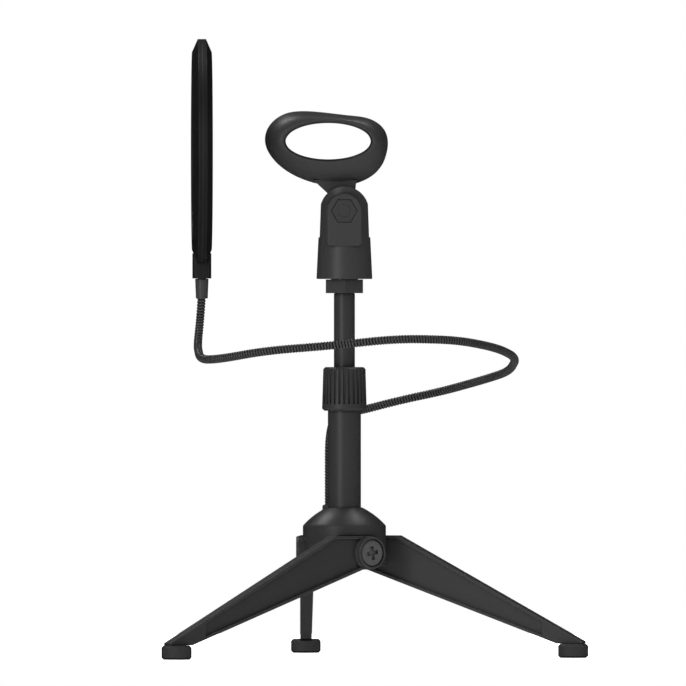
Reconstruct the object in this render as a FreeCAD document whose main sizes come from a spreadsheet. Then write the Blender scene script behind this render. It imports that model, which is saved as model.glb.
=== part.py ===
import FreeCAD, Part
import math
import os

import Sketcher
from FreeCAD import Placement, Rotation, Vector

# Desktop microphone stand with a slip-in clip and a pop filter on a flexible arm.
# Millimetres, +Z up, X to the right, Y towards the back; the column's axis is X = Y = 0
# and the three feet stand on Z = 0.

DIMENSIONS = {
    # hub: the casting that holds the column and the three legs
    "hub_radius": 24.1,
    "hub_base_z": 52.8,
    "hub_shoulder_z": 76.1,
    "hub_top_z": 86.6,
    "hub_neck_radius": 10.3,
    "dome_arc": 45.0,
    "cavity_radius": 15.4,
    "cavity_top_z": 57.0,
    "cover_thickness": 2.0,
    # legs, in each leg's own plane: pivot at the origin of the length
    "heading_left": -144.0,
    "heading_right": -24.0,
    "heading_back": 90.4,
    "leg_offset": 21.6,
    "leg_thickness": 7.9,
    "leg_end_thickness": 6.7,
    "leg_recess": 2.0,
    "leg_rim": 1.5,
    "pivot_z": 60.5,
    "leg_boss_radius": 9.75,
    "leg_boss_face": 28.0,
    "leg_boss_bevel": 1.5,
    "leg_flat_end": 24.9,
    "leg_tip": 141.8,
    "leg_tip_z": 9.6,
    "leg_foot_start": 126.3,
    "leg_foot_z": 8.2,
    "leg_fit_gap": 0.9,
    "slot_clearance": 0.35,
    "pivot_shank_radius": 3.0,
    "pivot_head_radius": 7.5,
    "pivot_head_height": 2.6,
    "pivot_thread_radius": 2.5,
    "running_gap": 0.06,
    # feet
    "foot_distance": 135.3,
    "foot_radius": 8.75,
    "foot_height": 8.1,
    "foot_bevel": 1.2,
    # column
    "lower_tube_radius": 9.6,
    "lower_tube_bore": 8.4,
    "lower_tube_base_z": 61.0,
    "lower_tube_top_z": 160.0,
    "upper_tube_radius": 6.1,
    "upper_tube_bore": 5.0,
    "upper_tube_base_z": 112.0,
    "upper_tube_top_z": 210.9,
    # clutch that locks the upper tube
    "clutch_base_z": 142.7,
    "clutch_top_z": 168.0,
    "clutch_top_radius": 12.3,
    "clutch_base_radius": 12.95,
    "clutch_groove_foot_z": 146.6,
    "clutch_groove_count": 28,
    "clutch_groove_radius": 0.74,
    "clutch_bore": 11.2,
    # lock nut and thread stud under the clip
    "nut_across_flats": 21.6,
    "nut_height": 7.9,
    "stud_radius": 7.9,
    "stud_top_z": 231.0,
    # clip's forked body
    "yoke_base_z": 219.1,
    "yoke_base_radius": 16.2,
    "yoke_waist_radius": 15.05,
    "yoke_shoulder_z": 260.8,
    "yoke_shoulder_radius": 14.45,
    "yoke_top_radius": 14.1,
    "ear_top_z": 272.8,
    "clip_pivot_z": 258.6,
    "pad_half_width": 10.4,
    "pad_base_z": 238.2,
    "pad_face": 16.4,
    "pad_bevel": 1.0,
    "fork_gap": 9.0,
    "fork_floor_z": 243.3,
    "tongue_thickness": 8.4,
    "clip_bolt_radius": 3.6,
    "clip_nut_flats": 12.6,
    "clip_nut_depth": 6.0,
    "clip_head_radius": 6.6,
    "clip_head_height": 4.0,
    # clip sleeve
    "sleeve_front": 14.0,
    "sleeve_back": 16.0,
    "sleeve_wall": 2.4,
    # flexible arm
    "arm_radius": 2.4,
    "arm_base_x": -9.0,
    "arm_base_y": 14.5,
    "arm_base_z": 88.0,
    "arm_hinge_gap": 1.5,
    # filter
    "filter_x": -82.7,
    "filter_y": 3.5,
    "filter_z": 293.3,
    "filter_turn": 1.0,
    "hoop_radius": 65.0,
    "hoop_rim": 4.8,
    "hoop_depth": 11.4,
    "hoop_chamfer": 7.5,
    "hoop_window": 54.0,
    "mesh_thickness": 0.3,
    "mesh_gap": 5.2,
    "socket_base_z": 219.4,
    "socket_top_z": 234.0,
    "socket_width": 10.9,
    "ferrule_base_z": 207.8,
    "ferrule_base_radius": 3.45,
    "ferrule_top_radius": 3.9,
}

# The arm's route from its base to its tip: the corners of the straight runs.
ARM_ROUTE = [
    (-9.0, 14.5, 88.0),
    (-9.0, 14.0, 127.0),
    (-5.5, 30.0, 140.5),
    (-5.0, 64.0, 142.0),
    (5.5, 89.5, 141.0),
    (32.5, 98.0, 148.0),
    (58.0, 92.0, 153.5),
    (84.0, 66.0, 161.0),
    (96.0, 33.5, 165.5),
    (100.0, -7.0, 173.5),
    (88.0, -42.0, 179.5),
    (65.5, -65.0, 184.0),
    (31.5, -83.5, 185.0),
    (-7.0, -87.0, 181.0),
    (-45.0, -79.5, 178.0),
    (-72.5, -59.5, 173.0),
    (-83.5, -33.0, 172.5),
    (-85.2, -3.5, 180.5),
    (-83.7, 2.9, 195.0),
    (-82.8, 3.5, 208.5),
]

# The runs of the route in whose middle the arm is divided, one for each bend.
ARM_HINGE_RUNS = [0, 8, 12, 18]

# Share of the shorter run that an arc takes at a corner of the route.
ARC_SHARE = 0.45

# The clip sleeve's outline at its wide mouth, seen along its axis: X and Z.
SLEEVE_MOUTH = [
    (-45.6, 302.0),
    (-41.0, 310.5),
    (-32.0, 315.4),
    (-24.0, 316.3),
    (3.0, 313.9),
    (16.0, 311.3),
    (23.9, 303.8),
    (24.4, 293.5),
    (19.0, 281.5),
    (7.0, 275.0),
    (-16.5, 275.0),
    (-30.0, 280.0),
    (-41.0, 288.8),
]

# The clip sleeve's narrow lip: an oval centred here.
LIP_CENTRE = (-9.4, 299.0)
LIP_HALF = (27.0, 12.9)

SLEEVE_POINTS = 28

# Stations of the sleeve's flare: share of its depth from the lip, and share of the way
# from the lip's outline to the mouth's outline.
SLEEVE_FLARE = [(0.0, 0.0), (0.07, 0.36), (0.2, 0.66), (0.45, 0.93), (1.0, 1.0)]

document = FreeCAD.newDocument("MicrophoneStand")


class Size:
    """A dimension: its value now, and the expression that keeps it bound to the sheet."""

    def __init__(self, value, text=None):
        self.value = float(value)
        self.text = text if text else f"({float(value)!r})"

    def joined(self, other, sign, value):
        return Size(value, f"({self.text} {sign} {other.text})")

    def __add__(self, other):
        other = as_size(other)
        return self.joined(other, "+", self.value + other.value)

    def __radd__(self, other):
        return as_size(other) + self

    def __sub__(self, other):
        other = as_size(other)
        return self.joined(other, "-", self.value - other.value)

    def __rsub__(self, other):
        return as_size(other) - self

    def __mul__(self, other):
        other = as_size(other)
        return self.joined(other, "*", self.value * other.value)

    def __rmul__(self, other):
        return as_size(other) * self

    def __truediv__(self, other):
        other = as_size(other)
        return self.joined(other, "/", self.value / other.value)

    def __neg__(self):
        return as_size(0.0) - self


def as_size(number):
    """A Size, whether a plain number or a Size is given."""
    return number if isinstance(number, Size) else Size(number)


class Sheet:
    """The spreadsheet of driving dimensions, read by alias."""

    def __init__(self, values):
        self.table = document.addObject("Spreadsheet::Sheet", "dims")
        for row, (alias, value) in enumerate(values.items(), start=1):
            self.table.set(f"A{row}", alias)
            self.table.set(f"B{row}", str(value))
            self.table.setAlias(f"B{row}", alias)
        document.recompute()

    def __getattr__(self, alias):
        return Size(self.table.get(alias), f"dims.{alias}")


dim = Sheet(DIMENSIONS)


# ---------------------------------------------------------------- drawing helpers


def bind(thing, prop, amount):
    """Sets a property to an amount and keeps it bound to the sheet."""
    amount = as_size(amount)
    thing.setExpression(prop, amount.text)


def new_body(name):
    """An empty PartDesign body with a label of its own."""
    body = document.addObject("PartDesign::Body", name)
    body.Label = name
    return body


def new_sketch(body, name, plane, lift=0.0):
    """A sketch on one of the body's own origin planes, lifted along the plane's normal."""
    sketch = body.newObject("Sketcher::SketchObject", name)
    for feature in body.Origin.OriginFeatures:
        if feature.Role == plane:
            sketch.AttachmentSupport = (feature, "")
    sketch.MapMode = "FlatFace"
    lift = as_size(lift)
    sketch.AttachmentOffset = Placement(Vector(0, 0, lift.value), Rotation())
    if lift.value:
        bind(sketch, "AttachmentOffset.Base.z", lift)
    return sketch


def hold_point(sketch, geometry, point, u, v):
    """Holds one point of a sketch at bound coordinates."""
    for kind, amount in (("DistanceX", as_size(u)), ("DistanceY", as_size(v))):
        number = sketch.addConstraint(
            Sketcher.Constraint(kind, -1, 1, geometry, point, amount.value)
        )
        bind(sketch, f"Constraints[{number}]", amount)


def arc_between(start, end, radius):
    """The arc from start to end; a positive radius has its centre left of the chord."""
    chord = end - start
    half = chord.Length / 2
    rise = math.sqrt(max(radius * radius - half * half, 0.0))
    side = Vector(-chord.y, chord.x, 0).normalize()
    centre = start + chord * 0.5 + side * math.copysign(rise, radius)
    first, last = (start, end) if radius > 0 else (end, start)
    circle = Part.Circle(centre, Vector(0, 0, 1), abs(radius))
    angles = [math.atan2((p - centre).y, (p - centre).x) for p in (first, last)]
    return Part.ArcOfCircle(circle, angles[0], angles[1])


def outline(body, name, plane, corners, arcs=None, lift=0.0):
    """A closed sketch through bound corners; arcs maps a side's number to its radius."""
    arcs = arcs or {}
    sketch = new_sketch(body, name, plane, lift)
    points = [Vector(as_size(u).value, as_size(v).value, 0) for u, v in corners]
    count = len(points)
    ends = []
    for side in range(count):
        start, end = points[side], points[(side + 1) % count]
        if side in arcs:
            radius = as_size(arcs[side])
            number = sketch.addGeometry(arc_between(start, end, radius.value), False)
            ends.append((number, 1, 2) if radius.value > 0 else (number, 2, 1))
        else:
            number = sketch.addGeometry(Part.LineSegment(start, end), False)
            ends.append((number, 1, 2))
    for side in range(count):
        before = ends[side - 1]
        number, first, _ = ends[side]
        sketch.addConstraint(
            Sketcher.Constraint("Coincident", before[0], before[2], number, first)
        )
        hold_point(sketch, number, first, *corners[side])
    for side, radius in arcs.items():
        radius = as_size(radius)
        number = sketch.addConstraint(
            Sketcher.Constraint("Radius", ends[side][0], abs(radius.value))
        )
        text = radius.text if radius.value > 0 else f"(0 - {radius.text})"
        sketch.setExpression(f"Constraints[{number}]", text)
    return sketch


def disc(body, name, plane, radius, u=0.0, v=0.0, lift=0.0):
    """A sketch of one circle of a bound radius at bound coordinates."""
    sketch = new_sketch(body, name, plane, lift)
    radius, u, v = as_size(radius), as_size(u), as_size(v)
    circle = Part.Circle(Vector(u.value, v.value, 0), Vector(0, 0, 1), radius.value)
    number = sketch.addGeometry(circle, False)
    hold_point(sketch, number, 3, u, v)
    held = sketch.addConstraint(Sketcher.Constraint("Radius", number, radius.value))
    bind(sketch, f"Constraints[{held}]", radius)
    return sketch


def hexagon_corners(across_flats, u=0.0, v=0.0, first_angle=0.0):
    """The six corners of a hexagon, the first at the given angle from the sketch's X."""
    reach = as_size(across_flats) / math.sqrt(3.0)
    corners = []
    for step in range(6):
        angle = math.radians(first_angle + 60.0 * step)
        corners.append((u + reach * math.cos(angle), v + reach * math.sin(angle)))
    return corners


def feature(body, kind, name, sketch):
    """A PartDesign feature of a kind made from a sketch."""
    made = body.newObject(kind, name)
    made.Profile = sketch
    sketch.Visibility = False
    return made


def pad(body, name, sketch, length, both_sides=False, backwards=False):
    """Adds material: a bound length, or half of it to each side."""
    made = feature(body, "PartDesign::Pad", name, sketch)
    made.SideType = "Symmetric" if both_sides else "One side"
    made.Reversed = backwards
    bind(made, "Length", length)
    return made


def pocket(body, name, sketch, depth, both_sides=False, backwards=False):
    """Removes material: a bound depth, or half of it to each side."""
    document.recompute()
    volume = body.Shape.Volume
    made = feature(body, "PartDesign::Pocket", name, sketch)
    made.SideType = "Symmetric" if both_sides else "One side"
    made.Reversed = backwards
    bind(made, "Length", depth)
    document.recompute()
    if body.Shape.Volume >= volume - 1e-3:
        raise RuntimeError(f"{name} removes nothing from {body.Label}")
    return made


def revolve(body, name, sketch, axis="V_Axis"):
    """Turns a sketch about one of its own axes through a full circle."""
    made = feature(body, "PartDesign::Revolution", name, sketch)
    made.ReferenceAxis = (sketch, [axis])
    made.Angle = 360.0
    return made


def turned(name, corners, arcs=None):
    """A body turned about Z from a profile of radius and height."""
    body = new_body(name)
    revolve(body, f"{name}_turn", outline(body, f"{name}_profile", "XZ_Plane", corners, arcs))
    return body


def ring_corners(bore, radius, base, top):
    """The profile of a plain ring."""
    return [(bore, base), (radius, base), (radius, top), (bore, top)]


def moved(thing, x=0.0, y=0.0, z=0.0):
    """Places a thing at bound coordinates."""
    for axis, amount in zip("xyz", (x, y, z)):
        amount = as_size(amount)
        if amount.value:
            bind(thing, f"Placement.Base.{axis}", amount)
    return thing


def headed(thing, heading):
    """Turns a thing about the column's axis by a bound angle."""
    thing.Placement = Placement(Vector(), Rotation(Vector(0, 0, 1), heading.value))
    bind(thing, "Placement.Rotation.Angle", heading)
    return thing


def named(kind, name, **links):
    """A Part object of a kind, with its links set."""
    made = document.addObject(kind, name)
    made.Label = name
    for prop, value in links.items():
        setattr(made, prop, value)
    return made


def rod(name, radius, height, z=0.0):
    """A Part cylinder along Z with bound sizes."""
    made = named("Part::Cylinder", name)
    bind(made, "Radius", radius)
    bind(made, "Height", height)
    return moved(made, z=z)


# ---------------------------------------------------------------- hub

# Where the leg's lower edge leaves the round of its boss, from straight down.
LEG_HEEL_ANGLE = math.radians(21.2)

LEG_HEADINGS = {
    "left": dim.heading_left,
    "right": dim.heading_right,
    "back": dim.heading_back,
}
CORNER = 0.4  # a small broken edge
TALL = 60.0  # longer than any cut goes
SEAT = 1.0  # a step that locates one piece on another


def leg_slot_cutter():
    """What a leg needs cut from the hub, for a leg that points along +X: the room that it
    folds in, and the hole for its pivot screw."""
    cutter = new_body("slot_cutter")
    round_end = dim.leg_boss_radius + dim.slot_clearance
    ceiling = dim.pivot_z + round_end
    face = dim.leg_offset - dim.leg_thickness / 2 - dim.leg_fit_gap
    corners = [
        (-round_end, dim.hub_base_z - 2.0),
        (TALL, dim.hub_base_z - 2.0),
        (TALL, ceiling),
        (0.0, ceiling),
        (-round_end, dim.pivot_z),
    ]
    sketch = outline(
        cutter, "slot_room", "XZ_Plane", corners, {3: round_end}, lift=-face
    )
    pad(cutter, "slot_room_pad", sketch, TALL / 2, backwards=True)
    hole = disc(
        cutter, "slot_screw", "XZ_Plane", dim.pivot_thread_radius + 0.02,
        0.0, dim.pivot_z, lift=-face,
    )
    pad(cutter, "slot_screw_pad", hole, face - dim.lower_tube_radius - 1.4)
    return cutter


def hub():
    """The hub's housing, its bottom cover and the screw that holds the column down."""
    housing = turned(
        "hub_blank",
        [
            (0.0, dim.cavity_top_z),
            (dim.cavity_radius, dim.cavity_top_z),
            (dim.cavity_radius, dim.hub_base_z),
            (dim.hub_radius - CORNER, dim.hub_base_z),
            (dim.hub_radius, dim.hub_base_z + CORNER),
            (dim.hub_radius, dim.hub_shoulder_z - CORNER),
            (dim.hub_radius - CORNER, dim.hub_shoulder_z + CORNER),
            (dim.hub_neck_radius, dim.hub_top_z),
            (dim.lower_tube_radius + 0.02, dim.hub_top_z),
            (dim.lower_tube_radius + 0.02, dim.lower_tube_base_z),
            (0.0, dim.lower_tube_base_z),
        ],
        {6: dim.dome_arc},
    )
    cutter = leg_slot_cutter()
    tools = []
    for side, heading in LEG_HEADINGS.items():
        tool = named("Part::Compound", f"slot_{side}", Links=[cutter])
        tools.append(headed(tool, heading))
    tools.append(
        rod("centre_hole", 3.02, TALL / 4, dim.cavity_top_z - SEAT)
    )
    stem_hole = rod("arm_hole", 2.45, TALL, dim.hub_base_z - SEAT)
    tools.append(moved(stem_hole, dim.arm_base_x, dim.arm_base_y, dim.hub_base_z - SEAT))
    nut_room = rod("arm_nut_room", 4.9, 8.0, dim.hub_base_z - SEAT)
    tools.append(moved(nut_room, dim.arm_base_x, dim.arm_base_y, dim.hub_base_z - SEAT))
    seat = rod("arm_seat", 3.85, TALL / 2, dim.arm_base_z - 6.5)
    tools.append(moved(seat, dim.arm_base_x, dim.arm_base_y, dim.arm_base_z - 6.5))
    cuts = named("Part::MultiFuse", "hub_cuts", Shapes=tools)
    shell = named("Part::Cut", "hub_housing", Base=housing, Tool=cuts)
    cover = turned(
        "hub_bottom_cover",
        [
            (0.0, dim.hub_base_z),
            (dim.cavity_radius - 1.0, dim.hub_base_z),
            (dim.cavity_radius - 0.03, dim.hub_base_z + CORNER),
            (dim.cavity_radius - 0.03, dim.hub_base_z + dim.cover_thickness),
            (0.0, dim.hub_base_z + dim.cover_thickness),
        ],
    )
    screw_head_z = dim.cavity_top_z - 2.0
    screw = turned(
        "hub_centre_screw",
        [
            (0.0, screw_head_z + 0.8),
            (1.6, screw_head_z + 0.8),
            (1.6, screw_head_z),
            (5.0, screw_head_z),
            (5.5, screw_head_z + CORNER),
            (5.5, dim.cavity_top_z),
            (3.0, dim.cavity_top_z),
            (3.0, dim.cavity_top_z + 16.0),
            (0.0, dim.cavity_top_z + 16.0),
        ],
    )
    return [shell, cover, screw]


# ---------------------------------------------------------------- legs


def on_rim_circle(radius, rise, fall):
    """Where a line that starts rise above the pivot and falls by fall per unit of length
    leaves a circle about the pivot: its distance along the leg and above the pivot."""
    square = 1.0 + fall * fall
    half = rise * fall
    along = (half + math.sqrt(half * half - square * (rise * rise - radius * radius)))
    return along / square, rise - fall * along / square


def leg_recess_corners(low_a, low_z, top):
    """The recess in a leg's face, a rim's width inside its edges, and its arc's radius."""
    rim = dim.leg_rim
    fall = (top.value - dim.leg_tip_z.value) / (dim.leg_tip.value - dim.leg_flat_end.value)
    climb = (low_z.value - dim.leg_foot_z.value) / (dim.leg_foot_start.value - low_a.value)
    lower_rim = rim.value * math.hypot(1.0, climb)
    arc = dim.leg_boss_radius + 0.6
    low_rise = low_z.value + low_a.value * climb + lower_rim - dim.pivot_z.value
    low_x, low_dz = on_rim_circle(arc.value, low_rise, climb)
    top_x, top_dz = on_rim_circle(arc.value, top.value - rim.value - dim.pivot_z.value, 0.0)
    end = dim.leg_foot_start - 9.0
    end_low = low_z + lower_rim - (end - low_a) * climb
    end_top = top - rim * math.hypot(1.0, fall) - (end - dim.leg_flat_end) * fall
    corners = [
        (low_x, dim.pivot_z + low_dz),
        (end, end_low),
        (end, end_top),
        (dim.leg_flat_end - rim * 0.24, top - rim),
        (top_x, dim.pivot_z + top_dz),
    ]
    return corners, arc


def leg(side, heading):
    """One leg: a pressed channel section with a raised rim on both faces and a boss."""
    name = f"leg_{side}"
    body = new_body(name)
    radius = dim.leg_boss_radius
    top = dim.pivot_z + radius
    low_a = radius * math.sin(LEG_HEEL_ANGLE)
    low_z = dim.pivot_z - radius * math.cos(LEG_HEEL_ANGLE)
    corners = [
        (0.0, top),
        (-radius, dim.pivot_z),
        (low_a, low_z),
        (dim.leg_foot_start, dim.leg_foot_z),
        (dim.leg_tip, dim.leg_foot_z),
        (dim.leg_tip, dim.leg_tip_z),
        (dim.leg_flat_end, top),
    ]
    middle = -dim.leg_offset
    plate = outline(
        body, f"{name}_side", "XZ_Plane", corners, {0: radius, 1: radius}, lift=middle
    )
    pad(body, f"{name}_plate", plate, dim.leg_thickness, both_sides=True)
    boss_start = dim.leg_offset + dim.leg_thickness / 2 - 1.0
    boss = disc(
        body, f"{name}_boss", "XZ_Plane", radius, 0.0, dim.pivot_z, lift=-boss_start
    )
    neck = dim.leg_boss_face - dim.leg_boss_bevel
    pad(body, f"{name}_boss_pad", boss, neck - boss_start, backwards=True)
    rim = disc(body, f"{name}_rim", "XZ_Plane", radius, 0.0, dim.pivot_z, lift=-neck)
    rounded = pad(body, f"{name}_rim_pad", rim, dim.leg_boss_bevel, backwards=True)
    rounded.TaperAngle = -24.0
    far = dim.leg_thickness - dim.leg_end_thickness
    for face, sign in (("outer", 1.0), ("inner", -1.0)):
        flank = dim.leg_offset + sign * dim.leg_thickness / 2
        taper = outline(
            body, f"{name}_{face}_flank", "XY_Plane",
            [
                (dim.leg_flat_end, flank),
                (dim.leg_tip, flank - sign * far / 2),
                (dim.leg_tip + SEAT, flank - sign * far / 2),
                (dim.leg_tip + SEAT, flank + sign * SEAT),
                (dim.leg_flat_end, flank + sign * SEAT),
            ],
        )
        pocket(body, f"{name}_{face}_taper", taper, TALL * 2, backwards=True)
    recess, recess_arc = leg_recess_corners(low_a, low_z, top)
    for face, lift, backwards in (
        ("outer", -dim.leg_offset - dim.leg_thickness / 2, True),
        ("inner", -dim.leg_offset + dim.leg_thickness / 2, False),
    ):
        sketch = outline(
            body, f"{name}_{face}", "XZ_Plane", recess, {4: -recess_arc}, lift=lift
        )
        pocket(body, f"{name}_{face}_recess", sketch, dim.leg_recess, backwards=backwards)
    hole = disc(
        body, f"{name}_hole", "XZ_Plane",
        dim.pivot_shank_radius + dim.running_gap, 0.0, dim.pivot_z,
    )
    pocket(body, f"{name}_bore", hole, TALL, backwards=False)
    sink = disc(
        body, f"{name}_sink", "XZ_Plane", dim.pivot_head_radius + 0.6,
        0.0, dim.pivot_z, lift=-dim.leg_boss_face,
    )
    pocket(
        body, f"{name}_counterbore", sink, dim.pivot_head_height + 0.3, backwards=True
    )
    foot_hole = disc(
        body, f"{name}_foot_hole", "XY_Plane", 1.52,
        dim.foot_distance, dim.leg_offset, lift=dim.leg_foot_z,
    )
    pocket(body, f"{name}_foot_bore", foot_hole, 3.2, backwards=True)
    return headed(body, heading)


def foot(side, heading):
    """One rubber foot with its fixing screw sunk in its underside."""
    pad_body = turned(
        f"foot_rubber_{side}",
        [
            (1.53, 3.2),
            (3.6, 3.2),
            (3.6, 0.0),
            (dim.foot_radius - dim.foot_bevel, 0.0),
            (dim.foot_radius, dim.foot_bevel),
            (dim.foot_radius, dim.foot_height - dim.foot_bevel),
            (dim.foot_radius - dim.foot_bevel, dim.foot_height),
            (1.53, dim.foot_height),
        ],
    )
    screw_body = turned(
        f"foot_pin_{side}",
        [
            (0.0, 1.6),
            (3.0, 1.6),
            (3.0, 3.18),
            (1.5, 3.18),
            (1.5, dim.foot_height + 3.0),
            (0.0, dim.foot_height + 3.0),
        ],
    )
    nodes = []
    for blank, name in ((pad_body, f"foot_{side}"), (screw_body, f"foot_screw_{side}")):
        moved(blank, dim.foot_distance, dim.leg_offset)
        nodes.append(headed(named("Part::Compound", name, Links=[blank]), heading))
    return nodes


def turned_by(corners, angle):
    """Corners turned about the sketch's origin by an angle in degrees."""
    cosine, sine = math.cos(math.radians(angle)), math.sin(math.radians(angle))
    return [(u * cosine - v * sine, u * sine + v * cosine) for u, v in corners]


def pivot_screw_blank():
    """A leg's pivot screw along -Y, head outwards, for a leg that points along +X."""
    body = new_body("pivot_screw_blank")
    outer = dim.leg_boss_face
    under_head = outer - dim.pivot_head_height
    shoulder = dim.leg_offset - dim.leg_thickness / 2 - dim.leg_fit_gap
    end = dim.lower_tube_radius + 1.6
    corners = [
        (0.0, end),
        (dim.pivot_thread_radius, end),
        (dim.pivot_thread_radius, shoulder + 0.02),
        (dim.pivot_shank_radius, shoulder + 0.02),
        (dim.pivot_shank_radius, under_head),
        (dim.pivot_head_radius, under_head),
        (dim.pivot_head_radius, outer - 0.6),
        (dim.pivot_head_radius - 0.9, outer),
        (0.0, outer),
    ]
    profile = outline(body, "pivot_screw_profile", "XY_Plane", corners)
    revolve(body, "pivot_screw_turn", profile)
    arm = 3.9
    half = 1.2
    cross = [
        (half, half), (half, arm), (-half, arm), (-half, half),
        (-arm, half), (-arm, -half), (-half, -half), (-half, -arm),
        (half, -arm), (half, -half), (arm, -half), (arm, half),
    ]
    drive = outline(body, "pivot_screw_drive", "XZ_Plane", turned_by(cross, -8.0), lift=-outer)
    pocket(body, "pivot_screw_recess", drive, 1.5, backwards=True)
    return moved(body, z=dim.pivot_z)


def pivot_washer_blank():
    """A leg's friction washer, between the leg and the hub."""
    body = new_body("pivot_washer_blank")
    shoulder = dim.leg_offset - dim.leg_thickness / 2 - dim.leg_fit_gap
    ring = outline(
        body, "pivot_washer_profile", "XY_Plane",
        ring_corners(
            dim.pivot_shank_radius + 0.05, 7.4,
            shoulder + 0.02, shoulder + dim.leg_fit_gap - 0.06,
        ),
    )
    revolve(body, "pivot_washer_turn", ring)
    return moved(body, z=dim.pivot_z)


def legs():
    """The three legs, their feet, and the screws and washers that they turn on."""
    nodes = []
    screw = pivot_screw_blank()
    washer = pivot_washer_blank()
    groups = {"leg_pivot_screws": screw, "leg_pivot_washers": washer}
    for side, heading in LEG_HEADINGS.items():
        nodes.append(leg(side, heading))
        nodes.extend(foot(side, heading))
    for name, blank in groups.items():
        copies = []
        for side, heading in LEG_HEADINGS.items():
            copy = named("Part::Compound", f"{name}_{side}", Links=[blank])
            copies.append(headed(copy, heading))
        nodes.append(named("Part::Compound", name, Links=copies))
    return nodes


# ---------------------------------------------------------------- column


def tube(name, bore, radius, base, top):
    """A plain tube with its outer ends just broken."""
    return turned(
        name,
        [
            (bore, base),
            (radius - CORNER, base),
            (radius, base + CORNER),
            (radius, top - CORNER),
            (radius - CORNER, top),
            (bore, top),
        ],
    )


def clutch_collar():
    """The ribbed collar that is turned to free or lock the upper tube."""
    name = "clutch_collar"
    body = turned(
        name,
        [
            (dim.lower_tube_radius + 0.3, dim.clutch_base_z),
            (dim.clutch_base_radius - 1.3, dim.clutch_base_z),
            (dim.clutch_base_radius, dim.clutch_base_z + 1.3),
            (dim.clutch_top_radius, dim.clutch_top_z - 1.2),
            (dim.clutch_top_radius - 1.2, dim.clutch_top_z),
            (dim.upper_tube_radius + 0.35, dim.clutch_top_z),
            (dim.upper_tube_radius + 0.35, dim.clutch_top_z - 1.1),
            (8.7, dim.clutch_top_z - 1.1),
            (10.2, dim.lower_tube_top_z + 1.3),
            (dim.clutch_bore, dim.lower_tube_top_z + 0.4),
            (dim.clutch_bore, dim.clutch_base_z + 3.4),
            (dim.lower_tube_radius + 0.3, dim.clutch_base_z + 3.4),
        ],
    )
    groove = disc(
        body, "clutch_groove", "XY_Plane", dim.clutch_groove_radius,
        dim.clutch_top_radius + 0.12, 0.0, lift=dim.clutch_groove_foot_z,
    )
    cut = pocket(body, "clutch_groove_cut", groove, TALL / 2, backwards=True)
    pattern = body.newObject("PartDesign::PolarPattern", "clutch_grooves")
    pattern.Originals = [cut]
    pattern.Axis = (groove, ["N_Axis"])
    pattern.Angle = 360.0
    pattern.setExpression("Occurrences", dim.clutch_groove_count.text)
    body.Tip = pattern
    return body


def column():
    """The two tubes, what guides and locks them, and the stud at the top."""
    lower = tube(
        "lower_tube", dim.lower_tube_bore, dim.lower_tube_radius,
        dim.lower_tube_base_z, dim.lower_tube_top_z,
    )
    plug = turned(
        "lower_tube_plug",
        ring_corners(
            3.02, dim.lower_tube_bore - 0.02,
            dim.lower_tube_base_z + 0.02, dim.lower_tube_base_z + 12.0,
        ),
    )
    sleeve = turned(
        "tube_thread_sleeve",
        ring_corners(
            dim.lower_tube_radius + 0.02, dim.clutch_bore - 0.08,
            dim.clutch_base_z + 4.5, dim.lower_tube_top_z - 0.5,
        ),
    )
    bush = turned(
        "tube_guide_bush",
        [
            (dim.upper_tube_radius + dim.running_gap, dim.lower_tube_top_z - 10.0),
            (dim.lower_tube_bore - 0.02, dim.lower_tube_top_z - 10.0),
            (dim.lower_tube_bore - 0.02, dim.lower_tube_top_z + 0.02),
            (dim.lower_tube_radius, dim.lower_tube_top_z + 0.02),
            (dim.lower_tube_radius, dim.lower_tube_top_z + SEAT),
            (dim.upper_tube_radius + dim.running_gap, dim.lower_tube_top_z + SEAT),
        ],
    )
    collet = turned(
        "clutch_collet",
        [
            (dim.upper_tube_radius + dim.running_gap, dim.lower_tube_top_z + 1.05),
            (dim.lower_tube_radius - 0.2, dim.lower_tube_top_z + 1.05),
            (dim.lower_tube_radius - 0.2, dim.lower_tube_top_z + 1.8),
            (8.1, dim.clutch_top_z - 1.4),
            (dim.upper_tube_radius + dim.running_gap, dim.clutch_top_z - 1.4),
        ],
    )
    slit = outline(
        collet, "collet_slit", "XY_Plane",
        [(4.0, -0.6), (14.0, -0.6), (14.0, 0.6), (4.0, 0.6)],
        lift=dim.lower_tube_top_z,
    )
    pocket(collet, "collet_slit_cut", slit, TALL, backwards=True)
    upper = tube(
        "upper_tube", dim.upper_tube_bore, dim.upper_tube_radius,
        dim.upper_tube_base_z, dim.upper_tube_top_z - 0.02,
    )
    end_bush = turned(
        "upper_tube_end_bush",
        ring_corners(
            dim.upper_tube_radius + 0.02, dim.lower_tube_bore - dim.running_gap,
            dim.upper_tube_base_z, dim.upper_tube_base_z + 6.0,
        ),
    )
    stud = turned(
        "thread_stud",
        [
            (0.0, dim.upper_tube_top_z - 16.0),
            (dim.upper_tube_bore - 0.02, dim.upper_tube_top_z - 16.0),
            (dim.upper_tube_bore - 0.02, dim.upper_tube_top_z),
            (dim.stud_radius, dim.upper_tube_top_z),
            (dim.stud_radius, dim.stud_top_z - 1.0),
            (dim.stud_radius - 1.0, dim.stud_top_z),
            (0.0, dim.stud_top_z),
        ],
    )
    nut = new_body("lock_nut")
    flats = outline(
        nut, "lock_nut_flats", "XY_Plane",
        hexagon_corners(dim.nut_across_flats, first_angle=-90.0),
        lift=dim.upper_tube_top_z,
    )
    pad(nut, "lock_nut_pad", flats, dim.nut_height)
    thread = disc(
        nut, "lock_nut_thread", "XY_Plane", dim.stud_radius + 0.02,
        lift=dim.upper_tube_top_z,
    )
    pocket(nut, "lock_nut_bore", thread, TALL, backwards=True)
    return [
        lower, plug, sleeve, bush, collet, clutch_collar(), upper, end_bush, stud, nut,
    ]


# ---------------------------------------------------------------- clip


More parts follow.
